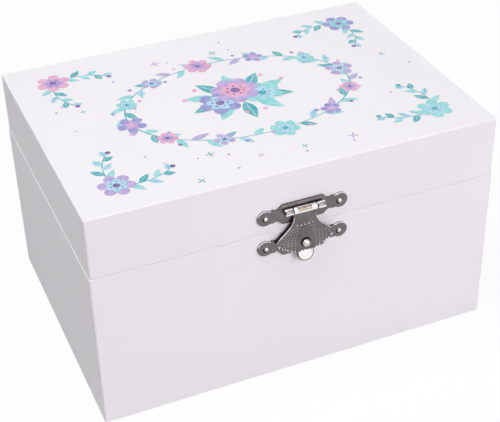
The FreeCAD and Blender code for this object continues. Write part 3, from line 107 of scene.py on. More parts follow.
UPRIGHT = turned(QUARTER, "X")
SIDEWAYS = turned(QUARTER, "Z") @ UPRIGHT
LID_TOP = corners("lid_top_panel")[1].z
FRONT_FACE = corners("front_wall")[0].y
FRONT = at(0, FRONT_FACE, 0) @ UPRIGHT
BACK = at(0, corners("back_wall")[1].y, 0) @ turned(math.pi, "Z") @ UPRIGHT
CLASP_AXIS = pivot("clasp_swing")
CLASP_OUT = FRONT_FACE - CLASP_AXIS.y
STUD_DROP = CLASP_AXIS.z - centre_of("clasp_stud").z
STUD_HOLE = corners("clasp_stud")[1].x + 0.25
PLATE_THICK = 0.9
KNUCKLE = 1.25
PIN_BORE = 0.64
NAIL_HEAD = 1
LINING_THICK = 0.8
DANCER_PIVOT = pivot("dancer_spin")
FOLD = math.acos(Vector(JOINTS["dancer_spin"]["axis"]).z)
FOLDED = at(*DANCER_PIVOT) @ turned(FOLD, "X")


# Properties that a user would change


def amount(name, about, value, **more):
    """A number property."""
    return FloatProperty(name=name, description=about, default=value, **more)


def length(name, about, metres):
    """A length property, in metres."""
    return amount(name, about, metres, unit="LENGTH", subtype="DISTANCE", precision=5)


def angle(name, about, degrees):
    """An angle property."""
    return amount(name, about, math.radians(degrees), unit="ROTATION", subtype="ANGLE")


def power(name, about, watts):
    """A lamp's power property."""
    return amount(name, about, watts, unit="POWER", min=0)


def triple(name, about, values, **more):
    """A property of three numbers."""
    return FloatVectorProperty(name=name, description=about, size=3, default=values, **more)


def colour(name, about, rgb):
    """A colour property."""
    return triple(name, about, rgb, subtype="COLOR", min=0, max=1)


def spot(name, about, xyz):
    """A place property, in metres."""
    return triple(name, about, xyz, unit="LENGTH", subtype="TRANSLATION", precision=6)


class BoxPaint(bpy.types.PropertyGroup):
    """Colours of the hard finishes."""

    lacquer: colour("Lacquer", "White lacquer on the walls and lid", (0.875, 0.862, 0.885))
    board: colour("Board", "Bare fibreboard under the lining", (0.42, 0.29, 0.18))
    dark_nickel: colour("Dark nickel", "Darkened plating of the clasp", (0.168, 0.152, 0.156))
    # Plating rubbed bright on the beads, and painted highlight on the clasp's edges, bands and tab
    rubbed_nickel: colour("Rubbed nickel", "Plating rubbed bright on the high points", (0.92, 0.9, 0.89))
    dull_nickel: colour("Dull nickel", "Half-rubbed plating of the hasp's beads", (0.56, 0.54, 0.54))
    # Painted shade for the clasp: dark lines, rings and discs where shade falls
    blackened: colour("Blackened", "Deep hollows of the clasp", (0.022, 0.02, 0.02))
    # A warm patch painted as a reflection on the clasp's barrel
    gilt: colour("Gilt", "Worn gilt patch on the clasp's barrel", (0.3, 0.25, 0.2))
    nickel: colour("Nickel", "Bright plating of hinges, screws and key", (0.56, 0.54, 0.51))
    steel: colour("Steel", "Comb, springs and plates", (0.46, 0.47, 0.48))
    brass: colour("Brass", "Wheels and cylinder", (0.6, 0.42, 0.16))
    plastic: colour("Plastic", "Moulded turntable, peg and fan", (0.82, 0.79, 0.83))
    glass: colour("Mirror", "Silvered mirror", (0.86, 0.89, 0.91))


class BoxPrint(bpy.types.PropertyGroup):
    """The flowers printed on the lid."""

    half_width: length("Half width", "Half the wreath's width", 0.043)
    half_depth: length("Half depth", "Half the wreath's depth", 0.0285)
    lift: length("Lift", "Height of the first layer of ink above the lid", 0.00003)
    aqua: colour("Aqua", "Pale green-blue ink", (0.27, 0.72, 0.72))
    teal: colour("Teal", "Deep green-blue ink", (0.03, 0.43, 0.47))
    lilac: colour("Lilac", "Pale violet ink", (0.5, 0.38, 0.72))
    periwinkle: colour("Periwinkle", "Blue-violet ink", (0.3, 0.3, 0.66))
    plum: colour("Plum", "Dark violet ink", (0.2, 0.1, 0.38))
    sky: colour("Sky", "Pale blue ink", (0.42, 0.72, 0.88))
    rose: colour("Rose", "Pink accent ink", (0.83, 0.4, 0.6))


class BoxClasp(bpy.types.PropertyGroup):
    """The stamped clasp."""

    rim: length("Rim", "Rounding of the stamped edges", 0.00016)
    bulge: length("Bulge", "How far the hasp swells forward", 0.0005)
    flute: length("Flute", "Depth of the hasp's flutes", 0.00013)
    rows: IntProperty(name="Rows", description="Rows of beads on each half", default=8, min=3, max=16)
    bead: length("Bead", "Radius of a bead", 0.00018)


class BoxSoft(bpy.types.PropertyGroup):
    """Lining and pads."""

    velvet: colour("Velvet", "Short pile of the lining and pads", (0.36, 0.27, 0.55))
    crown: length("Crown", "How much the floor pad swells in the middle", 0.0006)
    hem: length("Hem", "Rounding of the lining's edges", 0.0003)


class BoxDancer(bpy.types.PropertyGroup):
    """The dancer."""

    skin: colour("Skin", "Painted face and arms", (0.79, 0.5, 0.38))
    lips: colour("Lips", "Painted lips", (0.62, 0.16, 0.2))
    tights: colour("Tights", "Painted legs", (0.85, 0.68, 0.66))
    bodice: colour("Bodice", "Satin of the bodice", (0.44, 0.33, 0.66))
    net: colour("Net", "Gathered net of the skirt", (0.7, 0.62, 0.86))
    hair: colour("Hair", "Painted hair", (0.11, 0.052, 0.028))
    shoe: colour("Shoe", "Satin of the shoes", (0.82, 0.42, 0.5))


class BoxStage(bpy.types.PropertyGroup):
    """Floor, light and camera."""

    floor: colour("Floor", "Pale floor", (0.62, 0.62, 0.62))
    sky: amount("Sky", "Even light from all round", 0.197, min=0)
    sky_tint: colour("Sky tint", "Colour of the even light", (1.0, 0.85, 1.0))
    lamp_size: length("Lamp size", "Side of the square lamps", 0.6)
    top_lamp: power("Top lamp", "Power of the soft lamp overhead", 6.15)
    top_lamp_tint: colour("Top lamp tint", "Colour of the lamp overhead", (0.96, 1.0, 0.965))
    top_lamp_place: spot("Top lamp place", "Where the lamp overhead hangs", (-0.32, -0.04, 0.95))
    front_lamp: power("Front lamp", "Power of the soft lamp in front", 6.25)
    front_lamp_tint: colour("Front lamp tint", "Colour of the lamp in front", (1.0, 0.962, 1.0))
    front_lamp_place: spot("Front lamp place", "Where the lamp in front stands", (0.25, -0.95, 0.5))
    back_lamp: power("Back lamp", "Power of the soft lamp behind", 6.0)
    back_lamp_tint: colour("Back lamp tint", "Colour of the lamp behind", (1.0, 0.98, 1.0))
    back_lamp_place: spot("Back lamp place", "Where the lamp behind stands", (0.45, 1.0, 0.06))
    camera_place: spot("Camera place", "Where the camera stands", (-0.1451325, -0.3612847, 0.3007072))
    camera_turn: angle("Camera turn", "Turn of the view about the vertical", -22.2995)
    camera_tilt: angle("Camera tilt", "How far the view looks down", 34.3298)
    camera_roll: angle("Camera roll", "Roll of the picture", -1.46314)
    camera_lens: amount("Camera lens", "Focal length on a 36 mm frame", 87.14, min=1)


# Materials


class Shade:
    """A node socket that takes part in Python's arithmetic."""

    def __init__(self, tree, socket=None):
        self.tree = tree
        self.socket = socket

    def node(self, kind, settings=None, sockets=None, output=0):
        """Add a node, with its settings first and then the values or links of its sockets."""
        made = self.tree.nodes.new(kind)
        for name, value in (settings or {}).items():
            setattr(made, name, value)
        for key, value in (sockets or {}).items():
            if isinstance(value, Shade):
                self.tree.links.new(value.socket, made.inputs[key])
            else:
                made.inputs[key].default_value = value
        return Shade(self.tree, made.outputs[output])

    def work(self, operation, *values):
        """Add a Math node."""
        return self.node("ShaderNodeMath", {"operation": operation}, dict(enumerate(values)))

    def __add__(self, other):
        return self.work("ADD", self, other)

    def __mul__(self, other):
        return self.work("MULTIPLY", self, other)

    __radd__ = __add__
    __rmul__ = __mul__


def surface(name, paint, constants):
    """A material: paint gives what varies over the surface, constants what doesn't."""
    material = bpy.data.materials.get(name)
    if material is None:
        material = bpy.data.materials.new(name)
        material.use_nodes = True
        tree = material.node_tree
        shader = tree.nodes["Principled BSDF"]
        for key, value in constants.items():
            shader.inputs[key].default_value = value
        place = Shade(tree).node("ShaderNodeTexCoord", output="Object")
        for key, value in paint(place).items():
            tree.links.new(value.socket, shader.inputs[key])
    return material


def noise(place, scale, detail=3.0, roughness=0.5):
    """Soft noise from 0 to 1; scale counts its lumps in a metre."""
    sockets = {"Vector": place, "Scale": scale, "Detail": detail, "Roughness": roughness}
    return place.node("ShaderNodeTexNoise", None, sockets)


def threads(place, direction, scale, distortion, detail):
    """Parallel bands that rise and fall from 0 to 1."""
    settings = {"wave_type": "BANDS", "bands_direction": direction}
    sockets = {"Vector": place, "Scale": scale, "Distortion": distortion, "Detail": detail}
    return place.node("ShaderNodeTexWave", settings, sockets, 1)


def stretched(place, scale, turn=ORIGIN):
    """Coordinates turned and stretched, for brushing, fibres and strands."""
    return place.node("ShaderNodeMapping", None, {"Vector": place, "Rotation": turn, "Scale": scale})


def spread(value, low=0.3, high=0.7, to_low=0.0, to_high=1.0):
    """A value moved from one range to another, and kept inside it."""
    sockets = {"Value": value, "From Min": low, "From Max": high, "To Min": to_low, "To Max": to_high}
    return value.node("ShaderNodeMapRange", None, sockets)


def between(factor, first, second):
    """A colour between two others."""
    return factor.node("ShaderNodeMix", {"data_type": "RGBA"}, {0: factor, 6: first, 7: second}, 2)


def bump(height, strength, distance):
    """A normal from a height."""
    return height.node("ShaderNodeBump", None, {"Height": height, "Strength": strength, "Distance": distance})


def tone(rgb, factor=1.0, white=0.0):
    """A colour with its alpha, made darker or lighter, and with some white added."""
    return (*(min(1.0, part * factor + white) for part in rgb), 1.0)


def shades(mask, base, dark, light):
    """A colour that goes from a darker to a lighter tone of its base."""
    return between(mask, tone(base, dark), tone(base, light))


LOW_SHEEN = {"Coat Weight": 0.02, "Coat Roughness": 0.25, "Specular IOR Level": 0.06}

# For each plain metal: its material's name, its brushing along x, y and z, and its least roughness
METALS = {
    "rubbed_nickel": ("rubbed_nickel", (700, 700, 700), 0.2),
    "dull_nickel": ("dull_nickel", (700, 700, 700), 0.3),
    "blackened": ("blackened_nickel", (500, 500, 500), 0.45),
    "nickel": ("nickel_plate", (2200, 300, 300), 0.16),
    "steel": ("bright_steel", (300, 300, 2400), 0.22),
    "brass": ("plain_brass", (300, 2400, 300), 0.24),
}


def lacquer():
    """Sprayed white lacquer, with faint orange peel and faint clouding."""
    base = bpy.context.scene.box_paint.lacquer

    def paint(place):
        return {
            "Base Color": shades(spread(noise(place, 24, 4)), base, 0.985, 1.012),
            "Roughness": spread(noise(place, 160, 4), 0.3, 0.7, 0.4, 0.5),
            "Normal": bump(noise(place, 700, 2), 0.06, 0.0004),
        }

    return surface("white_lacquer", paint, LOW_SHEEN)


def ink(name):
    """One printed ink: slightly uneven, with fine grain, on the lacquer's own sheen."""
    base = getattr(bpy.context.scene.box_print, name)

    def paint(place):
        grain = noise(place, 5200, 1)
        mask = spread(noise(place, 420) * 0.75 + grain * 0.25, 0.35, 0.65)
        return {
            "Base Color": between(mask, tone(base, 0.86), tone(base, 0.82, 0.18)),
            "Roughness": spread(grain, 0.3, 0.7, 0.34, 0.44),
            "Normal": bump(grain, 0.05, 0.0002),
        }

    return surface(f"ink_{name}", paint, LOW_SHEEN)


def dark_nickel():
    """Darkened plating, with a little stain and rub."""
    base = bpy.context.scene.box_paint.dark_nickel

    def paint(place):
        stain = noise(place, 380, 4)
        rub = noise(place, 1500, 3, 0.6)
        return {
            "Base Color": shades(spread(stain * 0.6 + rub * 0.4), base, 0.78, 1.28),
            "Roughness": spread(stain, 0.25, 0.75, 0.24, 0.38),
            "Normal": bump(rub, 0.06, 0.0001),
        }

    return surface("dark_nickel", paint, {"Metallic": 1.0})


def metal(kind):
    """Plain metal with brushing and a few dull spots."""
    name, brushed, rough = METALS[kind]
    base = getattr(bpy.context.scene.box_paint, kind)

    def paint(place):
        streaks = noise(stretched(place, brushed), 1, 3, 0.7)
        spots = noise(place, 260, 4)
        return {
            "Base Color": shades(spread(streaks * 0.6 + spots * 0.4), base, 0.86, 1.1),
            "Roughness": spread(streaks, 0.2, 0.8, rough, rough + 0.16),
            "Normal": bump(streaks, 0.08, 0.0001),
        }

    return surface(name, paint, {"Metallic": 1.0})


def worn_gilt():
    """A blotchy warm metal, painted as the warm reflection seen in the barrel's slot."""
    base = bpy.context.scene.box_paint.gilt

    def paint(place):
        patches = noise(place, 1700, 4, 0.65)
        return {
            "Base Color": shades(spread(patches, 0.36, 0.64), base, 0.42, 1.6),
            "Roughness": spread(patches, 0.3, 0.7, 0.4, 0.6),
            "Normal": bump(patches, 0.15, 0.0001),
        }

    return surface("worn_gilt", paint, {"Metallic": 1.0})


def fibreboard():
    """Bare board: short fibres in brown."""
    base = bpy.context.scene.box_paint.board

    def paint(place):
        fibres = noise(stretched(place, (500, 2600, 900), (0, 0, 0.5)), 1, 4, 0.6)
        flecks = noise(place, 1400, 2)
        return {
            "Base Color": shades(spread(fibres * 0.7 + flecks * 0.3), base, 0.75, 1.2),
            "Roughness": spread(fibres, 0.2, 0.8, 0.75, 0.95),
            "Normal": bump(fibres, 0.3, 0.0003),
        }

    return surface("fibreboard", paint, {"Specular IOR Level": 0.25})


def velvet():
    """Short pile: light and dark brushing, fine tufts and a sheen at the edges."""
    base = bpy.context.scene.box_soft.velvet

    def paint(place):
        tufts = noise(place, 4200, 2)
        mask = spread(noise(place, 60) * 0.55 + tufts * 0.45, 0.34, 0.66)
        return {
            "Base Color": between(mask, tone(base, 0.72), tone(base, 0.8, 0.16)),
            "Roughness": spread(tufts, 0.2, 0.8, 0.8, 0.98),
            "Normal": bump(tufts, 0.5, 0.0003),
        }

    pile = {"Sheen Weight": 0.5, "Sheen Roughness": 0.4, "Specular IOR Level": 0.15}
    return surface("lilac_velvet", paint, pile)


def mirror_glass():
    """Silvered glass, faintly cloudy."""
    base = bpy.context.scene.box_paint.glass

    def paint(place):
        haze = noise(place, 90, 4)
        return {
            "Base Color": shades(spread(haze), base, 0.96, 1.03),
            "Roughness": spread(haze, 0.3, 0.8, 0.02, 0.06),
        }

    return surface("mirror_glass", paint, {"Metallic": 1.0, "Coat Weight": 0.6, "Coat Roughness": 0.02})


def moulded(name, base, rough=0.32, sheen=0.0):
    """Moulded or painted plastic: faint flow marks and a soft gloss."""

    def paint(place):
        flow = noise(stretched(place, (260, 260, 700)), 1)
        fine = noise(place, 3000, 2)
        return {
            "Base Color": shades(spread(flow), base, 0.93, 1.06),
            "Roughness": spread(flow * 0.6 + fine * 0.4, 0.3, 0.7, rough, rough + 0.14),
            "Normal": bump(fine, 0.06, 0.0001),
        }

    return surface(name, paint, {"Coat Weight": 0.1, "Sheen Weight": sheen})


def white_plastic():
    """The plastic of the turntable, the stand and the fan."""
    return moulded("white_plastic", bpy.context.scene.box_paint.plastic)


def satin(name, base):
    """Painted satin: fine twill lines and a broad sheen."""

    def paint(place):
        twill = threads(place, "DIAGONAL", 900.0, 1.2, 1.0)
        return {
            "Base Color": shades(spread(noise(place, 500) * 0.7 + twill * 0.3), base, 0.82, 1.2),
            "Roughness": spread(twill, 0.0, 1.0, 0.3, 0.42),
            "Normal": bump(twill, 0.1, 0.0001),
        }

    return surface(name, paint, {"Sheen Weight": 0.3, "Coat Weight": 0.05})


def strands(name, base):
    """Painted hair: fine combed strands."""

    def paint(place):
        comb = noise(stretched(place, (5200, 700, 700), (FOLD, 0, 0)), 1, 3, 0.6)
        return {
            "Base Color": shades(spread(comb), base, 0.6, 1.9),
            "Roughness": spread(comb, 0.2, 0.8, 0.28, 0.45),
            "Normal": bump(comb, 0.35, 0.0002),
        }

    return surface(name, paint, {"Coat Weight": 0.1})


def net():
    """Fine net: crossed threads with holes between them."""
    base = bpy.context.scene.box_dancer.net

    def paint(place):
        flat = stretched(place, (1, 1, 1), (-FOLD, 0, 0))
        crossed = [threads(flat, direction, 520.0, 0.4, 0.0) for direction in ("X", "Y")]
        soft = noise(place, 700, 2)
        return {
            "Base Color": between(spread(soft), tone(base, 0.9), tone(base, 0.7, 0.3)),
            "Alpha": spread(flat.work("MAXIMUM", *crossed), 0.3, 0.9, 0.5, 0.95),
            "Roughness": spread(soft, 0.3, 0.7, 0.6, 0.8),
        }

    return surface("skirt_net", paint, {"Sheen Weight": 0.4})


def paint_nodes(finish, *names):
    """Give CAD nodes a finish."""
    for name in names:
        node = frame["nodes"][name]
        if not node.material_slots:
            node.data.materials.append(finish)
        for held in node.material_slots:
            held.material = finish


# Shapes


def faces_of(verts):
    """The faces round some vertices."""
    return list(dict.fromkeys(face for vert in verts for face in vert.link_faces))


def edges_of(verts):
    """The edges at some vertices."""
    return list(dict.fromkeys(edge for vert in verts for edge in vert.link_edges))


def only(kind, geometry):
    """The items of one kind in what an operator made."""
    return [item for item in geometry if isinstance(item, kind)]


def new_since(bm, old):
    """The vertices that came after a set of older ones."""
    return [vert for vert in bm.verts if vert not in old]


def give_finish(verts, number):
    """Give the faces round some vertices the finish in one of the piece's slots."""
    for face in faces_of(verts):
        face.material_index = number


def finish_piece(bm, name, body, finishes, stands_for=(), crease=35.0, closed=True, place=None):
    """Turn a drawing in millimetres into a piece that rides on a body."""
    if place is not None:
        bmesh.ops.transform(bm, matrix=place, verts=bm.verts[:])
    if closed:
        bmesh.ops.remove_doubles(bm, verts=bm.verts[:], dist=MERGE)
        bmesh.ops.recalc_face_normals(bm, faces=bm.faces[:])
    bmesh.ops.scale(bm, vec=(MM, MM, MM), verts=bm.verts[:])
    mesh = bpy.data.meshes.new(name)
    bm.to_mesh(mesh)
    bm.free()
    for finish in finishes:
        mesh.materials.append(finish)
    mesh.shade_smooth()
    mesh.set_sharp_from_angle(angle=math.radians(crease))
    piece = bpy.data.objects.new(name, mesh)
    bpy.context.scene.collection.objects.link(piece)
    if body:
        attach(piece, body)
    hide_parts(*stands_for)
    return piece


def thicken(bm, verts, thick):
    """Make the thin sheet at some vertices a closed shell, and give back its vertices."""
    old = set(bm.verts) - set(verts)
    bmesh.ops.solidify(bm, geom=faces_of(verts), thickness=thick)
    return new_since(bm, old)


def join(bm, part):
    """Add another drawing to this one."""
    mesh = bpy.data.meshes.new("part")
    part.to_mesh(mesh)
    part.free()
    bm.from_mesh(mesh)
    bpy.data.meshes.remove(mesh)


def soften(bm, edges, width, segments=2, clamp=False):
    """Round some edges."""
    bmesh.ops.bevel(
        bm, geom=edges, offset=width, segments=segments, profile=0.5,
        affect="EDGES", material=-1, clamp_overlap=clamp,
    )


def slab(bm, low, high, rounding, segments=2):
    """A block between two corners, with rounded edges."""
    low, high = Vector(low), Vector(high)
    place = at(*(low + high) / 2) @ Matrix.Diagonal((*(high - low), 1))
    verts = bmesh.ops.create_cube(bm, size=1, matrix=place)["verts"]
    soften(bm, edges_of(verts), rounding, segments, True)


def ball(bm, place, radius, sides=8, rings=5):
    """A ball, or an egg where its place stretches it, and its vertices."""
    made = bmesh.ops.create_uvsphere(bm, u_segments=sides, v_segments=rings, radius=radius, matrix=place)
    return made["verts"]


def spun(bm, points, axis, sweep, steps):
    """Spin a line of points about an axis through the origin, and give back its vertices."""
    old = set(bm.verts)
    line = [bm.verts.new(point) for point in points]
    edges = [bm.edges.new(pair) for pair in zip(line, line[1:])]
    full = math.isclose(abs(sweep), math.tau)
    bmesh.ops.spin(bm, geom=line + edges, cent=ORIGIN, axis=axis, angle=sweep, steps=steps, use_merge=full)
    return new_since(bm, old)


def lathe(bm, profile, place=None, steps=32):
    """Turn a profile of radius and height about its axis, and put it in its place."""
    verts = spun(bm, [(radius, 0, height) for radius, height in profile], (0, 0, 1), math.tau, steps)
    if place is not None:
        bmesh.ops.transform(bm, matrix=place, verts=verts)
    return verts


def ring(bm, radius, section, place, steps, flat=1.0, sides=12):
    """A ring with a round or flattened section."""
    profile = [
        (radius + section * math.cos(turn), flat * section * math.sin(turn))
        for turn in (math.tau * number / sides for number in range(sides + 1))
    ]
    return lathe(bm, profile, place, steps)


def tube(bm, points, radii, sides):
    """A closed tube through points; a radius may be a pair, across and deep."""
    loops = []
    points = [Vector(point) for point in points]
    for number, point in enumerate(points):
        along = points[min(number + 1, len(points) - 1)] - points[max(number - 1, 0)]
        across, deep = radii[number] if isinstance(radii[number], tuple) else (radii[number], radii[number])
        turn = Vector((0, 0, 1)).rotation_difference(along).to_matrix().to_4x4()
        place = at(*point) @ turn @ Matrix.Diagonal((across, deep, 1, 1))
        verts = bmesh.ops.create_circle(bm, segments=sides, radius=1, matrix=place)["verts"]
        loops.append(edges_of(verts))
    for first, second in zip(loops, loops[1:]):
        bmesh.ops.bridge_loops(bm, edges=first + second)
    for end in (loops[0], loops[-1]):
        bmesh.ops.edgeloop_fill(bm, edges=end)


def through(knots, x):
    """A smooth curve through knots of x and y, with no overshoot."""
    if x <= knots[0][0]:
        return knots[0][1]
    if x >= knots[-1][0]:
        return knots[-1][1]
    rise = [(b[1] - a[1]) / (b[0] - a[0]) for a, b in zip(knots, knots[1:])]
    inner = [0 if a * b <= 0 else 2 * a * b / (a + b) for a, b in zip(rise, rise[1:])]
    slopes = [rise[0], *inner, rise[-1]]
    index = max(i for i in range(len(knots) - 1) if knots[i][0] <= x)
    (x0, y0), (x1, y1) = knots[index], knots[index + 1]
    run = x1 - x0
    t = (x - x0) / run
    start = (1 + 2 * t) * (1 - t) ** 2 * y0 + t * (1 - t) ** 2 * run * slopes[index]
    return start + t * t * (3 - 2 * t) * y1 - t * t * (1 - t) * run * slopes[index + 1]


def ease(x, low, high):
    """0 below low, 1 above high, smooth between."""
    t = min(1.0, max(0.0, (x - low) / (high - low)))
    return t * t * (3 - 2 * t)


def hump(across, wide, up, high):
    """A round hump that is 1 at its middle; wide and high say how soon it falls away."""
    return math.exp(-((across / wide) ** 2 + (up / high) ** 2))


def merged(piece, voxel, smoothing):
    """Melt a piece's overlapping shapes into one skin, and smooth it."""
    melt = piece.modifiers.new("melt", "REMESH")
    melt.mode = "VOXEL"
    melt.voxel_size = voxel * MM
    smooth = piece.modifiers.new("soften", "SMOOTH")
    smooth.iterations = smoothing
    bpy.context.view_layer.update()
    done = bpy.data.meshes.new_from_object(piece.evaluated_get(bpy.context.evaluated_depsgraph_get()))
    piece.modifiers.clear()
    for finish in piece.data.materials:
        if done.materials.find(finish.name) < 0:
            done.materials.append(finish)
    done.shade_smooth()
    piece.data = done


# Wooden box and the print on its lid

INKS = ("aqua", "teal", "lilac", "periwinkle", "plum", "sky", "rose")
AQUA, TEAL, LILAC, PERIWINKLE, PLUM, SKY, ROSE = range(len(INKS))
INK_LAYER = 0.008
INK_HEIGHTS = 8


def around(way, wide, deep=None):
    """A point on a circle or an oval about the origin."""
    return Vector((wide * math.cos(way), (wide if deep is None else deep) * math.sin(way)))


def ink_height(layer=0.0):
    """The height of a layer of ink."""
    return LID_TOP + bpy.context.scene.box_print.lift / MM + INK_LAYER * layer


def lay_ink(bm, verts, place, shade):
    """Put a flat shape in its place, face up, in its ink."""
    bmesh.ops.transform(bm, matrix=place, verts=verts)
    for face in faces_of(verts):
        face.material_index = shade
        face.normal_update()
        if face.normal.z < 0:
            face.normal_flip()


def stamp(bm, outline, segments, place, turn, shade, layer):
    """A flat printed shape: outline gives its point at a share of the way round.

    Shapes of one layer take turns at a few heights, so that none lies in another's plane.
    """
    height = ink_height(layer + len(bm.faces) % INK_HEIGHTS / INK_HEIGHTS)
    verts = bmesh.ops.create_circle(bm, cap_ends=True, segments=segments, radius=1)["verts"]
    for number, vert in enumerate(verts):
        vert.co = (*outline(number / segments), 0)
    lay_ink(bm, verts, at(*place, height) @ turned(turn, "Z"), shade)


def leaf(bm, place, turn, long, wide, shade):
    """A pointed leaf with a lighter fold along its middle."""
    for share_of_width, hue, layer in ((0.5, shade, 1), (0.055, TEAL if shade == SKY else SKY, 2)):
        reach = wide * share_of_width

        def outline(share):
            along = 0.5 - 0.5 * math.cos(math.tau * share)
            side = 1 if share < 0.5 else -1
            return along * long, -side * reach * math.sin(math.pi * along ** 0.85)

        stamp(bm, outline, 24, place, turn, hue, layer)


def dot(bm, place, radius, shade, layer=2):
    """A round berry."""
    stamp(bm, lambda share: around(math.tau * share, radius), 16, place, 0, shade, layer)


def sparkle(bm, place, radius, turn, shade):
    """A star with four thin points."""

    def outline(share):
        way = math.tau * share
        return around(way, radius * (0.16 + 0.84 * abs(math.cos(2 * way)) ** 6))

    stamp(bm, outline, 32, place, turn, shade, 1)


def flower(bm, place, radius, petals, turn, shades_of, layer=3):
    """A flower with outer and inner petals, a centre and a ring of dots."""
    outer, inner, centre = shades_of
    step = math.tau / petals
    for size, shade, over in ((1.0, outer, 0), (0.62, inner, 1)):
        reach = radius * size

        def petal(share):
            along = 0.5 - 0.5 * math.cos(math.tau * share)
            return along * reach, reach * 0.4 * math.sin(math.tau * share) * (0.5 + 0.55 * along)

        for number in range(petals):
            stamp(bm, petal, 20, place, turn + step * (number + 0.5 * over), shade, layer + over)
    dot(bm, place, radius * 0.2, centre, layer + 2)
    for number in range(petals):
        ring_place = Vector(place) + around(turn + step * (number + 0.5), 0.34 * radius)
        dot(bm, ring_place, radius * 0.055, centre, layer + 2)


def stem(bm, centre, radius, start, sweep, width, shade, squeeze=1.0):
    """A thin printed stem along an arc."""
    ends = [(radius + side * width / 2, 0, 0) for side in SIDES]
    verts = spun(bm, ends, (0, 0, 1), sweep, max(6, int(abs(sweep) * radius / 1.2)))
    place = at(*centre, ink_height()) @ Matrix.Diagonal((1, squeeze, 1, 1)) @ turned(start, "Z")
    lay_ink(bm, verts, place, shade)


class JEWELLERY_BOX_OT_carcass(bpy.types.Operator):
    """Lacquer the walls and lid, and leave the inner boards bare"""

    bl_idname = "jewellery_box.carcass"
    bl_label = "Wooden box"

    def execute(self, context):
        walls = ("front_wall", "back_wall", "left_wall", "right_wall")
        paint_nodes(lacquer(), *walls, *(f"lid_{wall}" for wall in walls), "lid_top_panel")
        paint_nodes(fibreboard(), "floor_panel", "deck_panel", "partition_panel")
        return {"FINISHED"}


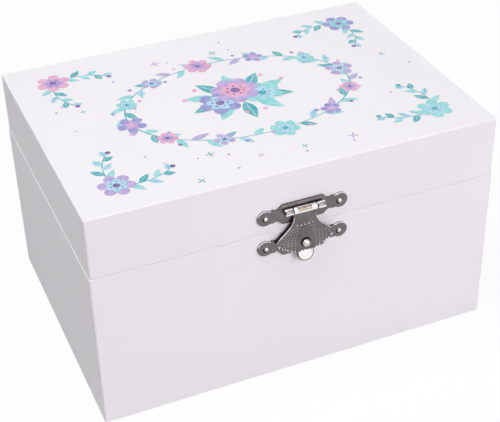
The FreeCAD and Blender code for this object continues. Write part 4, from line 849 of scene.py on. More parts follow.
class JEWELLERY_BOX_OT_lid_print(bpy.types.Operator):
    """Print a flower wreath, corner sprigs and scattered dots on the lid"""

    bl_idname = "jewellery_box.lid_print"
    bl_label = "Print on the lid"

    LEAVES = 46
    BERRIES = 24
    FLOWERS = 12
    SCATTERED = 70
    LEAF_LEAN = 0.72
    SCATTER_X, SCATTER_Y = 70, 48
    SPRIG_X, SPRIG_Y, SPRIG_CLEAR = 58, 37, 15
    WREATH_CLEAR = 1.25

    def wreath(self, bm, wide, deep):
        """An oval stem with leaves, berries and flowers."""
        stem(bm, (0, 0), wide, 0, math.tau, 0.55, TEAL, deep / wide)
        greens = (AQUA, TEAL, SKY, AQUA, LILAC)
        for number in range(self.LEAVES):
            way = math.tau * (number + 0.5) / self.LEAVES
            ahead = math.atan2(deep * math.cos(way), -wide * math.sin(way))
            lean = self.LEAF_LEAN if number % 2 else -self.LEAF_LEAN
            long = 6.6 + 0.9 * math.sin(5 * way)
            leaf(bm, around(way, wide, deep), ahead + lean, long, 2.7, greens[number % 5])
        for number in range(self.BERRIES):
            way = math.tau * (number + 0.2) / self.BERRIES
            out = 1.1 if number % 2 else 0.9
            dot(bm, out * around(way, wide, deep), 0.75, (PLUM, ROSE, PERIWINKLE)[number % 3])
        petals = ((LILAC, SKY, PLUM), (AQUA, SKY, TEAL), (PERIWINKLE, LILAC, ROSE), (ROSE, LILAC, PLUM))
        for number in range(self.FLOWERS):
            way = math.tau * number / self.FLOWERS + 0.13
            size = 5.4 if number % 3 == 0 else 3.9
            flower(bm, around(way, wide, deep), size, 5 + number % 2, way, petals[number % 4])

    def bouquet(self, bm):
        """Three large flowers on a fan of leaves."""
        for number in range(10):
            way = math.tau * number / 10 + 0.3
            leaf(bm, around(way, 8, 5), way, 12.5, 5.0, (AQUA, TEAL)[number % 2])
        flower(bm, (-8.4, -2.0), 8.2, 6, 0.2, (PERIWINKLE, SKY, PLUM))
        flower(bm, (8.6, -1.4), 7.8, 6, 0.5, (AQUA, SKY, TEAL), 6)
        flower(bm, (0.2, 4.4), 9.2, 7, 0.1, (LILAC, ROSE, PLUM), 9)
        for place in ((-19.5, 5.0), (19.4, 6.0), (-2.0, -12.2), (5.0, -12.4), (-13.5, 10.6), (13.4, 11.6)):
            dot(bm, place, 0.95, ROSE)

    def sprig(self, bm, right, back, shades_of):
        """A corner flower with a leafy stem along each edge."""
        corner = Vector((right * 59.5, back * 38.5))
        reach = 19.0
        for ahead, bend in ((Vector((-right, 0)), right * back), (Vector((0, -back)), -right * back)):
            ahead.rotate(Matrix.Rotation(-0.42 * bend, 2))
            centre = corner + reach * bend * Vector((-ahead.y, ahead.x))
            start = math.atan2(*reversed(corner - centre))
            stem(bm, centre, reach, start, 1.12 * bend, 0.4, TEAL)
            for number in range(6):
                way = start + bend * (0.24 + 0.16 * number)
                lean = way + bend * QUARTER + (0.75 if number % 2 else -0.75)
                hue = (AQUA, TEAL, SKY)[number % 3]
                leaf(bm, centre + around(way, reach), lean, 6.4 - 0.5 * number, 2.5, hue)
            dot(bm, centre + around(start + bend * 1.17, reach), 1.0, shades_of[2])
        flower(bm, corner, 6.4, 6, math.atan2(back, right), shades_of)

    def scatter(self, bm, wide, deep):
        """Dots and stars outside the wreath and clear of the corner flowers."""
        chance = random.Random(7)
        for number in range(self.SCATTERED):
            x = chance.uniform(-self.SCATTER_X, self.SCATTER_X)
            y = chance.uniform(-self.SCATTER_Y, self.SCATTER_Y)
            outside = math.hypot(x / wide, y / deep) > self.WREATH_CLEAR
            if outside and math.hypot(abs(x) - self.SPRIG_X, abs(y) - self.SPRIG_Y) > self.SPRIG_CLEAR:
                if number % 3:
                    dot(bm, (x, y), chance.uniform(0.35, 0.6), (AQUA, LILAC, PERIWINKLE)[number % 3])
                else:
                    size, turn = chance.uniform(1.4, 2.2), chance.uniform(0, 1.5)
                    sparkle(bm, (x, y), size, turn, (TEAL, LILAC)[number % 2])

    def execute(self, context):
        sizes = context.scene.box_print
        wide, deep = sizes.half_width / MM, sizes.half_depth / MM
        bm = bmesh.new()
        self.wreath(bm, wide, deep)
        self.bouquet(bm)
        self.sprig(bm, -1, -1, (LILAC, SKY, PLUM))
        self.sprig(bm, 1, 1, (PERIWINKLE, AQUA, PLUM))
        self.sprig(bm, 1, -1, (AQUA, SKY, TEAL))
        self.sprig(bm, -1, 1, (ROSE, LILAC, PLUM))
        self.scatter(bm, wide, deep)
        finish_piece(bm, "lid_print", "lid", [ink(name) for name in INKS], closed=False)
        return {"FINISHED"}


# Clasp, drawn as across, up and out from the front, with the numbers of its finishes

# Finishes: dark nickel, wear and painted highlight, painted shade, painted warm reflection, dull nickel
DARK, WEAR_AND_HIGHLIGHT, SHADE_BLACK, WARM_REFLECTION, DULL = range(5)
EAR = 2.85
EAR_FROM, EAR_TOP = 12, 1.1
# Angles above a knuckle's front, in degrees, where its bands of painted highlight start and end
FRONT_FROM, FRONT_TO, TOP_TO = -38, 12, 110


def plate_half_height(x, shoulder, end):
    """Half the height of a clasp plate: straight middle, waist, small bump and round ear."""
    x = abs(x)
    middle = end - EAR
    round_ear = math.sqrt(max(0.0, EAR * EAR - (x - middle) ** 2)) if x > middle - EAR else 0.0
    straight = [(0, shoulder), (7.5, shoulder), (8.4, 0.8 * shoulder)]
    waist = [(9.9, 2.1), (11.0, 2.5), (11.7, 2.44), (12.2, 2.4)]
    return max(round_ear, through(straight + waist, x) if x < middle - 1.2 else 0.0)


def stamped_plate(bm, up, shoulder, end, rim):
    """A thin plate with a wavy outline; the back of its sides is painted shade against the wall, and the
    upper sides of its ears are painted highlight.
    """
    verts = bmesh.ops.create_circle(bm, cap_ends=True, segments=240, radius=end)["verts"]
    for vert in verts:
        height = plate_half_height(vert.co.x, shoulder, end)
        vert.co.y = up + math.copysign(height, vert.co.y)
    face = verts[0].link_faces[0]
    # The back of the sides is painted shade; the ears' upper sides are painted highlight
    for share, shade in ((0.35, SHADE_BLACK), (0.65, WEAR_AND_HIGHLIGHT)):
        below = face
        made = bmesh.ops.extrude_face_region(bm, geom=[below], use_keep_orig=True)["geom"]
        raised = only(BMVert, made)
        face = only(BMFace, made)[0]
        bmesh.ops.translate(bm, vec=(0, 0, share * PLATE_THICK), verts=raised)
        for side in faces_of(raised):
            middle = side.calc_center_median()
            on_ear = abs(middle.x) > EAR_FROM and middle.y - up > EAR_TOP
            if side != face:
                side.material_index = shade if on_ear or shade == SHADE_BLACK else DARK
    bmesh.ops.delete(bm, geom=[below], context="FACES_ONLY")
    soften(bm, [edge for edge in bm.edges if set(raised).issuperset(edge.verts)], rim)


def knuckle(bm, left, right, up, dark_to):
    """A rolled hinge knuckle with an open bore, with bands of painted highlight along its top and its front.
    """
    half = (right - left) / 2
    soft, cut = 0.22, 0.065
    end = [(PIN_BORE, half), (KNUCKLE - soft, half), (KNUCKLE - cut, half - cut), (KNUCKLE, half - soft)]
    profile = [(reach, -height) for reach, height in end] + end[::-1] + [(PIN_BORE, -half)]
    place = at((left + right) / 2, up, CLASP_OUT) @ turned(QUARTER, "Y")
    for face in faces_of(lathe(bm, profile, place, 40)):
        middle = face.calc_center_median()
        rise = math.degrees(math.atan2(middle.y - up, middle.z - CLASP_OUT))
        # Faces in these bands are painted highlight, the rest plain dark nickel
        painted_highlight = FRONT_FROM < rise < FRONT_TO or dark_to < rise < TOP_TO
        face.material_index = WEAR_AND_HIGHLIGHT if painted_highlight else DARK


class JEWELLERY_BOX_OT_clasp_plates(bpy.types.Operator):
    """Stamp the two plates of the clasp, with the upper one's knuckles"""

    bl_idname = "jewellery_box.clasp_plates"
    bl_label = "Clasp plates"

    def painted_nail_shadows(self, bm, up):
        """Dark discs of painted shadow, set to the lower left of the nails' heads."""
        nail = corners("clasp_lid_nails")[1].x - NAIL_HEAD
        disc = [(0, 0.02), (1.05, 0.02), (1.1, -0.2), (0, -0.2)]
        for side in SIDES:
            give_finish(lathe(bm, disc, at(side * nail - 0.24, up - 0.26, PLATE_THICK), 24), SHADE_BLACK)

    def knuckles(self, bm):
        """The two outer knuckles, each on a short web."""
        up = CLASP_AXIS.z
        for left, right in ((-7.5, -4.6), (4.6, 7.5)):
            knuckle(bm, left, right, up, 66)
            low = (left + 0.1, up - KNUCKLE, PLATE_THICK - 0.2)
            slab(bm, low, (right - 0.1, up - 0.3 * KNUCKLE, CLASP_OUT), 0.12)

    def execute(self, context):
        for node, body in (("clasp_lid_plate", "lid"), ("clasp_catch_plate", "case")):
            low, high = corners(node)
            up = (low.z + high.z) / 2
            bm = bmesh.new()
            stamped_plate(bm, up, (high.z - low.z) / 2, high.x, context.scene.box_clasp.rim / MM)
            # Painted shadow below the nails
            self.painted_nail_shadows(bm, up)
            if body == "lid":
                self.knuckles(bm)
            finishes = [dark_nickel(), metal("rubbed_nickel"), metal("blackened")]
            finish_piece(bm, f"{node}_stamped", body, finishes, [node], place=FRONT)
        return {"FINISHED"}


class JEWELLERY_BOX_OT_clasp_hasp(bpy.types.Operator):
    """Stamp the fan-shaped hasp with flutes, beads, a stud hole and a thumb tab"""

    bl_idname = "jewellery_box.clasp_hasp"
    bl_label = "Clasp hasp"

    # Half the fan's width at drops below its hinge: its sides, and its lower edge
    EDGE = [(0, 4.2), (3.5, 4.05), (5.0, 4.4), (6.6, 5.4), (8.0, 6.7), (9.6, 8.6), (11.0, 10.1), (12.0, 10.6)]
    SKIRT = [(12.9, 10.4), (14.0, 9.2), (14.7, 7.9), (15.5, 6.4), (16.4, 4.7), (17.0, 3.1)]
    TOP = 0.5
    LONGEST = 16.9
    THICK = 0.5
    STAND_OFF = 2.0
    SKIRT_TOP = 12.2
    SCALLOP = 0.3
    SCALLOP_STEP = 0.95
    BEAD_STEP = 1.12
    NOTCHES = 26

    def half_width(self, drop):
        """Half the fan's width at a drop below its hinge, scalloped along the lower edge."""
        scallop = self.SCALLOP * math.sin(math.tau * (drop - self.SKIRT_TOP) / self.SCALLOP_STEP)
        on_skirt = ease(drop, self.SKIRT_TOP, 13) * (1 - ease(drop, 16, 17))
        return through(self.EDGE + self.SKIRT, drop) + scallop * on_skirt

    def row(self, x, drop):
        """Which row of beads a point is nearest, as a number with a fraction."""
        return x / through(self.EDGE, drop) * bpy.context.scene.box_clasp.rows

    def out(self, x, drop):
        """How far the middle of the sheet stands out."""
        sizes = bpy.context.scene.box_clasp
        share = min(1.0, abs(x) / through(self.EDGE, drop))
        swell = sizes.bulge / MM * math.sin(math.pi * min(1.0, drop / 19))
        curl = 0.3 * share ** 4 * ease(drop, 3, 9)
        flare = 0.9 * ease(drop, 5, 16)
        grooved = ease(drop, 6.2, 8.0) * ease(math.hypot(x, drop - STUD_DROP), 2.2, 3.0)
        flute = -sizes.flute / MM * math.cos(math.tau * self.row(x, drop)) * grooved
        return self.STAND_OFF + swell + flare - curl + flute

    def sheet(self):
        """The fluted fan itself, drawn apart from its many beads."""
        bm = bmesh.new()
        for vert in bmesh.ops.create_grid(bm, x_segments=132, y_segments=90, size=1)["verts"]:
            drop = self.TOP + (self.LONGEST - self.TOP) * (0.5 - 0.5 * vert.co.y)
            x = vert.co.x * self.half_width(drop)
            vert.co = (x, -drop, self.out(x, drop))
        hole = Vector((0, -STUD_DROP))
        gone = [face for face in bm.faces if (face.calc_center_median().xy - hole).length < STUD_HOLE]
        bmesh.ops.delete(bm, geom=gone, context="FACES")
        for vert in [vert for vert in bm.verts if vert.is_boundary]:
            if (vert.co.xy - hole).length < STUD_HOLE + 0.6:
                vert.co.xy = hole + (vert.co.xy - hole).normalized() * STUD_HOLE
        bmesh.ops.recalc_face_normals(bm, faces=bm.faces[:])
        if sum(face.normal.z for face in bm.faces) < 0:
            bmesh.ops.reverse_faces(bm, faces=bm.faces[:])
        bmesh.ops.solidify(bm, geom=bm.faces[:], thickness=self.THICK)
        return bm

    def flanges(self, bm):
        """Side flanges that run back to the plates, dark with painted shade, each with a rolled edge whose
        outer side is painted highlight.
        """
        foot = 1.05
        drops = [3.0 + 0.42 * step for step in range(22)]
        for side in SIDES:
            verts = bmesh.ops.create_grid(bm, x_segments=3, y_segments=24, size=1)["verts"]
            for vert in verts:
                drop = 7.6 - 4.6 * vert.co.y
                edge = self.half_width(drop)
                front = self.out(edge, drop)
                back = 0.5 + 0.5 * vert.co.x
                vert.co = (side * (edge - 0.1 * back), -drop, front + (foot - front) * back)
            # The flange is painted shade
            give_finish(thicken(bm, verts, 0.12), SHADE_BLACK)
            line = []
            for drop in drops:
                edge = self.half_width(drop)
                line.append((side * (edge - 0.04), -drop, self.out(edge, drop) + 0.02))
            old = set(bm.verts)
            tube(bm, line, [0.17] * len(line), 8)
            for face in faces_of(new_since(bm, old)):
                # The rolled edge's outer side is painted highlight, its inner side plain dark nickel
                face.material_index = WEAR_AND_HIGHLIGHT if side * face.normal.x > 0.2 else DARK

    def bead(self, bm, x, drop, radius, shade=WEAR_AND_HIGHLIGHT):
        """One small bead on the fan."""
        give_finish(ball(bm, at(x, -drop, self.out(x, drop) + 0.04), radius), shade)

    def beads(self, bm):
        """Rows of beads along the flutes, a short row at the neck and a row along the lower edge."""
        sizes = bpy.context.scene.box_clasp
        radius = sizes.bead / MM
        nudge = 0.1
        for number in range(1 - sizes.rows, sizes.rows):
            share = number / sizes.rows
            drop = 7.4 + 0.5 * abs(share)
            while drop < self.LONGEST - 0.3:
                x = share * through(self.EDGE, drop)
                inside = abs(x) < self.half_width(drop) - 0.4
                if inside and math.hypot(x, drop - STUD_DROP) > 2.7:
                    self.bead(bm, x, drop, radius, DULL if abs(number) > 2 else DARK)
                lean = share * (through(self.EDGE, drop + nudge) - through(self.EDGE, drop)) / nudge
                drop += self.BEAD_STEP / math.hypot(1, lean)
        for number in range(-2, 3):
            self.bead(bm, number * 1.45, 6.5 - 0.1 * abs(number), 1.3 * radius)
        for number in range(11):
            drop = 12.7 + 0.38 * number
            for side in SIDES:
                self.bead(bm, side * (self.half_width(drop) - 0.3), drop, 1.1 * radius)

    def barrel(self, bm):
        """The middle knuckle, with bands of painted highlight, and on its upper front a warm patch painted as
        a reflection, edged in painted shade.
        """
        knuckle(bm, -4.3, 4.3, 0, FRONT_TO)
        slab(bm, (-4.2, -2.2, CLASP_OUT - 0.75), (4.2, -0.4, CLASP_OUT - 0.05), 0.15)
        # A warm patch painted as a reflection, edged in painted shade
        self.patch(bm, -3.1, 2.2, 0.02, 0.2, 1.19, SHADE_BLACK)
        self.patch(bm, -2.9, 2.0, 0.04, 0.28, 1.03, WARM_REFLECTION)

    def patch(self, bm, left, right, lift, start, sweep, finish):
        """A thin patch that follows the barrel, from one angle above its front to another."""
        verts = spun(bm, [(x, 0, KNUCKLE + lift) for x in (left, right)], (1, 0, 0), -sweep, 8)
        bmesh.ops.transform(bm, matrix=at(0, 0, CLASP_OUT) @ turned(-start, "X"), verts=verts)
        give_finish(thicken(bm, verts, 0.015), finish)

    def tab(self, bm):
        """The round thumb tab, painted bright as a highlight on its face, with a knurled rim edged and gapped
        in painted shade.
        """
        old = set(bm.verts)
        place = at(0, -17.9, 2.9) @ turned(math.radians(-14), "X") @ Matrix.Scale(0.98, 4)
        lathe(bm, [(0, 0.3), (2.15, 0.34), (2.35, 0.2), (2.85, 0.2)], place, 48)
        for number in range(self.NOTCHES):
            before = set(bm.verts)
            slab(bm, (2.3, -0.2, 0), (2.9, 0.2, 0.42), 0.06)
            turn = turned(math.tau * number / self.NOTCHES, "Z")
            bmesh.ops.transform(bm, matrix=place @ turn, verts=new_since(bm, before))
        # The face and knurls are painted highlight
        give_finish(new_since(bm, old), WEAR_AND_HIGHLIGHT)
        edge = [(2.85, 0.2), (3.0, 0.3), (3.15, 0.2), (3.15, -0.2)]
        # A rim of painted shade
        give_finish(lathe(bm, edge, place, 48), SHADE_BLACK)
        lathe(bm, [(3.15, -0.2), (2.95, -0.35), (0, -0.35)], place, 48)
        # Painted shade between the knurls
        give_finish(ring(bm, 2.65, 0.34, place @ at(0, 0, 0.06), 48, 0.6), SHADE_BLACK)

    def execute(self, context):
        bm = bmesh.new()
        self.flanges(bm)
        self.beads(bm)
        self.barrel(bm)
        self.tab(bm)
        # A ring of painted shade round the stud's hole
        collar = at(0, -STUD_DROP, self.out(0, STUD_DROP) + 0.02)
        give_finish(ring(bm, STUD_HOLE, 0.18, collar, 44), SHADE_BLACK)
        join(bm, self.sheet())
        finishes = [dark_nickel(), metal("rubbed_nickel"), metal("blackened")]
        finishes += [worn_gilt(), metal("dull_nickel")]
        place = FRONT @ at(0, CLASP_AXIS.z, 0)
        finish_piece(
            bm, "clasp_hasp_stamped", "hasp", finishes, ["clasp_hasp"], 50, place=place
        )
        return {"FINISHED"}


class JEWELLERY_BOX_OT_clasp_fastenings(bpy.types.Operator):
    """Drive domed nails through the clasp's ears, and finish its pin and ball stud"""

    bl_idname = "jewellery_box.clasp_fastenings"
    bl_label = "Clasp nails, pin and stud"

    def execute(self, context):
        shank = [(0, -3.6), (0.55, -3.6), (0.55, 0.86)]
        dome = [(0.86, 0.86), (0.88, 1.0), (0.8, 1.25), (0.6, 1.46), (0.32, 1.58), (0, 1.62)]
        for node, body in (("clasp_lid_nails", "lid"), ("clasp_catch_nails", "case")):
            low, high = corners(node)
            bm = bmesh.new()
            for x in (low.x + NAIL_HEAD, high.x - NAIL_HEAD):
                lathe(bm, shank + dome, at(x, (low.z + high.z) / 2, 0), 24)
            finish_piece(bm, f"{node}_domed", body, [metal("nickel")], [node], place=FRONT)
        paint_nodes(dark_nickel(), "clasp_pin")
        paint_nodes(metal("nickel"), "clasp_stud")
        return {"FINISHED"}


# Hardware on the back


def slotted_screw(bm, place, radius, height, shank, depth, turn):
    """A domed screw with a slot; its axis points out."""
    old = set(bm.verts)
    profile = [(0, -depth), (shank, -depth), (shank, 0), (radius, 0)]
    dome = ((1.0, 0.35), (0.9, 0.66), (0.66, 0.88), (0.34, 0.98), (0, 1.0))
    profile += [(out * radius, up * height) for out, up in dome]
    bmesh.ops.remove_doubles(bm, verts=lathe(bm, profile), dist=MERGE)
    slot = 0.14 * radius
    shoulder = 0.36 * height
    sunk = 0.34 * height
    for side in SIDES:
        verts = new_since(bm, old)
        geometry = verts + edges_of(verts) + faces_of(verts)
        bmesh.ops.bisect_plane(bm, geom=geometry, dist=1e-5, plane_co=(0, side * slot, 0), plane_no=(0, 1, 0))
    groove = []
    for face in faces_of(new_since(bm, old)):
        middle = face.calc_center_median()
        if abs(middle.y) < slot and middle.z > shoulder:
            groove.append(face)
    made = bmesh.ops.extrude_face_region(bm, geom=groove)["geom"]
    bmesh.ops.translate(bm, vec=(0, 0, -sunk), verts=only(BMVert, made))
    bmesh.ops.delete(bm, geom=groove, context="FACES")
    bmesh.ops.transform(bm, matrix=place @ turned(turn, "Z"), verts=new_since(bm, old))


class JEWELLERY_BOX_OT_hinges(bpy.types.Operator):
    """Plate the hinges and drive slotted screws through their leaves"""

    bl_idname = "jewellery_box.hinges"
    bl_label = "Hinges"

    LEAF_THICK = 0.9
    SCREW_SPACE = 6

    def execute(self, context):
        finish = metal("nickel")
        hinges = ("left_hinge", "right_hinge")
        for hinge in hinges:
            paint_nodes(finish, f"{hinge}_case_leaf", f"{hinge}_lid_leaf", f"{hinge}_pin")
        chance = random.Random(3)
        for body in ("case", "lid"):
            node = f"hinge_{body}_screws"
            up = centre_of(node).z
            bm = bmesh.new()
            for hinge in hinges:
                middle = centre_of(f"{hinge}_{body}_leaf").x
                for x in (middle - self.SCREW_SPACE, middle + self.SCREW_SPACE):
                    place = BACK @ at(-x, up, self.LEAF_THICK)
                    slotted_screw(bm, place, 1.7, 0.8, 0.88, 5.3, chance.uniform(0, 3))
            finish_piece(bm, f"{node}_slotted", body, [finish], [node])
        return {"FINISHED"}


class JEWELLERY_BOX_OT_winding_key(bpy.types.Operator):
    """Shape the winding key, and finish its bush and arbor"""

    bl_idname = "jewellery_box.winding_key"
    bl_label = "Winding key"

    def execute(self, context):
        finish = metal("nickel")
        start = pivot("key_wind").y
        up = pivot("key_wind").z
        bm = bmesh.new()
        foot = [(1.5, 0), (2.6, 0), (2.8, 0.2), (2.8, 1.5), (2.5, 1.8), (2.3, 2.2), (2.25, 5.6)]
        crown = [(2.5, 6.1), (2.65, 6.6), (2.5, 7.2), (1.9, 8.2), (0.9, 9.2), (0, 9.4)]
        bore = [(0, 6.2), (1.5, 6.0), (1.5, 0)]
        for profile in (foot + crown, bore):
            lathe(bm, profile, at(0, start, up) @ turned(-QUARTER, "X"), 40)
        half_loop = [(2.0, -0.45), (2.25, -0.8), (3.3, -0.62), (4.3, -0.8), (4.6, -0.45)]
        other_half = [(radius, -height) for radius, height in half_loop[::-1]]
        for side in SIDES:
            place = at(0, start + 9, up + side * 5.8) @ turned(QUARTER, "Y")
            lathe(bm, half_loop + other_half + half_loop[:1], place, 48)
        slab(bm, (-0.8, start + 6.4, up - 2.6), (0.8, start + 10.6, up + 2.6), 0.35, 3)
        finish_piece(bm, "winding_key_cast", "key", [finish], ["winding_key"])
        paint_nodes(finish, "key_bush")
        paint_nodes(metal("steel"), "winding_arbor")
        return {"FINISHED"}


# Inside of the box

PAD_LUMPS = 24


def cloth_panel(name, body, outline, place, stands_for=(), holes=()):
    """A stretched sheet of velvet paper: its outline drawn flat, given thickness, and put in its place."""
    bm = bmesh.new()
    ends = [bm.verts.new((x, y, 0)) for x, y in outline]
    edges = [bm.edges.new(pair) for pair in zip(ends, ends[1:] + ends[:1])]
    for x, y, radius in holes:
        verts = bmesh.ops.create_circle(bm, segments=32, radius=radius, matrix=at(x, y, 0))["verts"]
        edges += edges_of(verts)
    faces = only(BMFace, bmesh.ops.triangle_fill(bm, use_beauty=True, edges=edges)["geom"])
    made = bmesh.ops.extrude_face_region(bm, geom=faces, use_keep_orig=True)["geom"]
    bmesh.ops.translate(bm, vec=(0, 0, LINING_THICK), verts=only(BMVert, made))
    piece = finish_piece(bm, name, body, [velvet()], stands_for, 30, place=place)
    hem = piece.modifiers.new("hem", "BEVEL")
    hem.width = bpy.context.scene.box_soft.hem
    hem.segments = 2
    hem.limit_method = "ANGLE"
    flat = [(max(run) - min(run)) * MM for run in zip(*outline)]


def rectangle(left, bottom, right, top):
    """The four ends of a rectangle."""
    return [(left, bottom), (right, bottom), (right, top), (left, top)]


class JEWELLERY_BOX_OT_lining(bpy.types.Operator):
    """Line the walls, the deck and the lid with velvet paper"""

    bl_idname = "jewellery_box.lining"
    bl_label = "Lining"

    SPINDLE_HOLE = 3.05
    GUIDE_HOLE = 2.05

    def case_lining(self):
        low, high = corners("wall_lining")
        deck = corners("deck_panel")[1].z
        step = corners("partition_panel")[0].y
        front, inner = low.y + LINING_THICK, high.x - LINING_THICK
        whole = rectangle(low.x, low.z, high.x, high.z)
        cloth_panel("lining_front", "case", whole, at(0, front, 0) @ UPRIGHT, ["wall_lining"])
        end = [(front, low.z), (step, low.z), (step, deck), (high.y, deck), (high.y, high.z), (front, high.z)]
        for side, x in (("left", low.x), ("right", inner)):
            cloth_panel(f"lining_{side}", "case", end, at(x, 0, 0) @ SIDEWAYS)
        behind = rectangle(-inner, deck + LINING_THICK, inner, high.z)
        cloth_panel("lining_back", "case", behind, at(0, high.y, 0) @ UPRIGHT)
        below = rectangle(-inner, low.z, inner, deck)
        cloth_panel("lining_partition", "case", below, at(0, step, 0) @ UPRIGHT)
        above = rectangle(-inner, step - LINING_THICK, inner, high.y)
        spindle, guide = pivot("spindle_spin"), centre_of("stop_rod_guide")
        holes = [(*spindle.xy, self.SPINDLE_HOLE), (*guide.xy, self.GUIDE_HOLE)]
        cloth_panel("lining_deck", "case", above, at(0, 0, deck), holes=holes)

    def lid_lining(self):
        low, high = corners("lid_lining")
        whole = rectangle(low.x, low.z, high.x, high.z)
        for side, y in (("front", low.y + LINING_THICK), ("back", high.y)):
            place = at(0, y, 0) @ UPRIGHT
            cloth_panel(f"lid_lining_{side}", "lid", whole, place, ["lid_lining"])
        reach = high.y - LINING_THICK
        end = rectangle(-reach, low.z, reach, high.z)
        for side, x in (("left", low.x), ("right", high.x - LINING_THICK)):
            cloth_panel(f"lid_lining_{side}", "lid", end, at(x, 0, 0) @ SIDEWAYS)

    def execute(self, context):
        self.case_lining()
        self.lid_lining()
        return {"FINISHED"}


def crowned_pad(bm, low, high, crown, down=False, keep_flat=None):
    """A thin pad with soft edges that swells in the middle, on its upper or lower side."""
    half = (high - low) / 2
    middle = (high + low) / 2
    base = high.z if down else low.z
    side = -1 if down else 1
    chance = random.Random(11)
    bumps = []
    for _ in range(PAD_LUMPS):
        place = chance.uniform(-1, 1), chance.uniform(-1, 1)
        bumps.append((*place, chance.uniform(0.2, 0.5), chance.uniform(-0.05, 0.05)))
    for vert in bmesh.ops.create_grid(bm, x_segments=72, y_segments=48, size=1)["verts"]:
        u, v = (math.copysign(1 - (1 - abs(part)) ** 1.4, part) for part in vert.co.xy)
        x, y = middle.x + u * half.x, middle.y + v * half.y
        edge = min(half.x - abs(x - middle.x), half.y - abs(y - middle.y))
        soft = math.sqrt(max(0.0, 1 - (1 - min(1.0, edge / (0.9 * half.z))) ** 2))
        swell = (1 - u ** 4) * (1 - v ** 4) + sum(rise * hump(u - p, r, v - q, r) for p, q, r, rise in bumps)
        if keep_flat:
            beyond = max(abs(x) - keep_flat.x, abs(y) - keep_flat.y)
            swell *= ease(beyond, 0.3, 6.0)
        reach = (2 * half.z - (0 if down else crown)) * (0.35 + 0.65 * soft) + crown * swell
        vert.co = (x, y, base + side * reach)
    rim = [edge for edge in bm.edges if edge.is_boundary]
    made = bmesh.ops.extrude_edge_only(bm, edges=rim)["geom"]
    for vert in only(BMVert, made):
        vert.co.z = base
    bmesh.ops.edgeloop_fill(bm, edges=[edge for edge in only(BMEdge, made) if edge.is_boundary])


class JEWELLERY_BOX_OT_pads(bpy.types.Operator):
    """Lay the velvet pads on the floor and under the lid"""

    bl_idname = "jewellery_box.pads"
    bl_label = "Pads"

    FILL = 0.7

    def execute(self, context):
        crown = context.scene.box_soft.crown / MM
        mirror = corners("mirror")[1].xy
        pads = (("floor_pad", "case", False, None), ("lid_pad", "lid", True, mirror))
        for node, body, down, keep_flat in pads:
            bm = bmesh.new()
            crowned_pad(bm, *corners(node), crown, down, keep_flat)
            finish_piece(bm, f"{node}_velvet", body, [velvet()], [node], 60)
        return {"FINISHED"}


class JEWELLERY_BOX_OT_mirror(bpy.types.Operator):
    """Silver the bevelled mirror"""

    bl_idname = "jewellery_box.mirror"
    bl_label = "Mirror"

    def execute(self, context):
        paint_nodes(mirror_glass(), "mirror")
        return {"FINISHED"}


class JEWELLERY_BOX_OT_movement(bpy.types.Operator):
    """Finish the musical movement, with slotted screws through the back"""

    bl_idname = "jewellery_box.movement"
    bl_label = "Musical movement"

    OF_STEEL = (
        "movement_bedplate", "comb", "comb_screws", "mainspring", "cylinder_bracket_inner",
        "cylinder_bracket_outer", "governor_frame", "stop_rod",
    )
    OF_BRASS = (
        "comb_base", "spring_barrel", "barrel_cap", "pinned_cylinder", "cylinder_arbor",
        "cylinder_wheel", "governor_wheel", "spindle_bush",
    )
    SCREWS = ((-13.5, 8.5), (24.5, 7.5), (52.5, 31.0))

    def execute(self, context):
        paint_nodes(metal("steel"), *self.OF_STEEL)
        paint_nodes(metal("brass"), *self.OF_BRASS)
        paint_nodes(metal("nickel"), "stop_rod_guide")
        paint_nodes(white_plastic(), "governor_fan", "dancer_spindle")
        chance = random.Random(5)
        bm = bmesh.new()
        for x, up in self.SCREWS:
            slotted_screw(bm, BACK @ at(-x, up, 0), 2.4, 1.2, 1.18, 8.0, chance.uniform(0, 3))
        finish_piece(bm, "movement_screws_slotted", "case", [metal("nickel")], ["movement_screws"])
        return {"FINISHED"}


# Dancer, drawn upright on the spring's upper end


class JEWELLERY_BOX_OT_dancer_spring(bpy.types.Operator):
    """Wind the coil spring that lets the dancer fold under the lid"""

    bl_idname = "jewellery_box.dancer_spring"
    bl_label = "Dancer's spring"

    def execute(self, context):
        wire, coil, straight, turn = 0.4, 3.1, 3.5, 4.2
        base = DANCER_PIVOT - Vector((0, 0, straight + turn))
        bend = turn / math.tan(FOLD / 2)
        total = 2 * straight + bend * FOLD
        turns, steps = 12, 26
        climb = (total - 2 * wire) / turns / steps
        bm = bmesh.new()
        place = at(coil, 0, wire) @ UPRIGHT
        section = bmesh.ops.create_circle(bm, segments=10, radius=wire, matrix=place)["verts"]
        first_end = edges_of(section)
        last = bmesh.ops.spin(
            bm, geom=section + first_end, cent=ORIGIN, axis=(0, 0, 1), dvec=(0, 0, climb),
            angle=math.tau * turns, steps=turns * steps,
        )["geom_last"]
        for end in (first_end, only(BMEdge, last)):
            bmesh.ops.edgeloop_fill(bm, edges=end)
        for vert in bm.verts:
            x, y, along = vert.co
            swing = min(FOLD, max(0.0, (along - straight) / bend))
            extra = along - straight if along < straight else max(0.0, along - straight - bend * FOLD)
            ahead = Vector((0, -math.sin(swing), math.cos(swing)))
            bent = Vector((0, -bend * (1 - math.cos(swing)), straight + bend * math.sin(swing)))
            centre = bent + extra * ahead
            vert.co = base + centre + Vector((x, y * math.cos(swing), y * math.sin(swing)))
        piece = finish_piece(bm, "dancer_spring_coil", None, [metal("steel")], ["dancer_spring"], 60)
        # The last vertex is at the upper end, so centre is now on the coil's middle line there
        (base + centre) * MM
        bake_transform(piece)
        return {"FINISHED"}


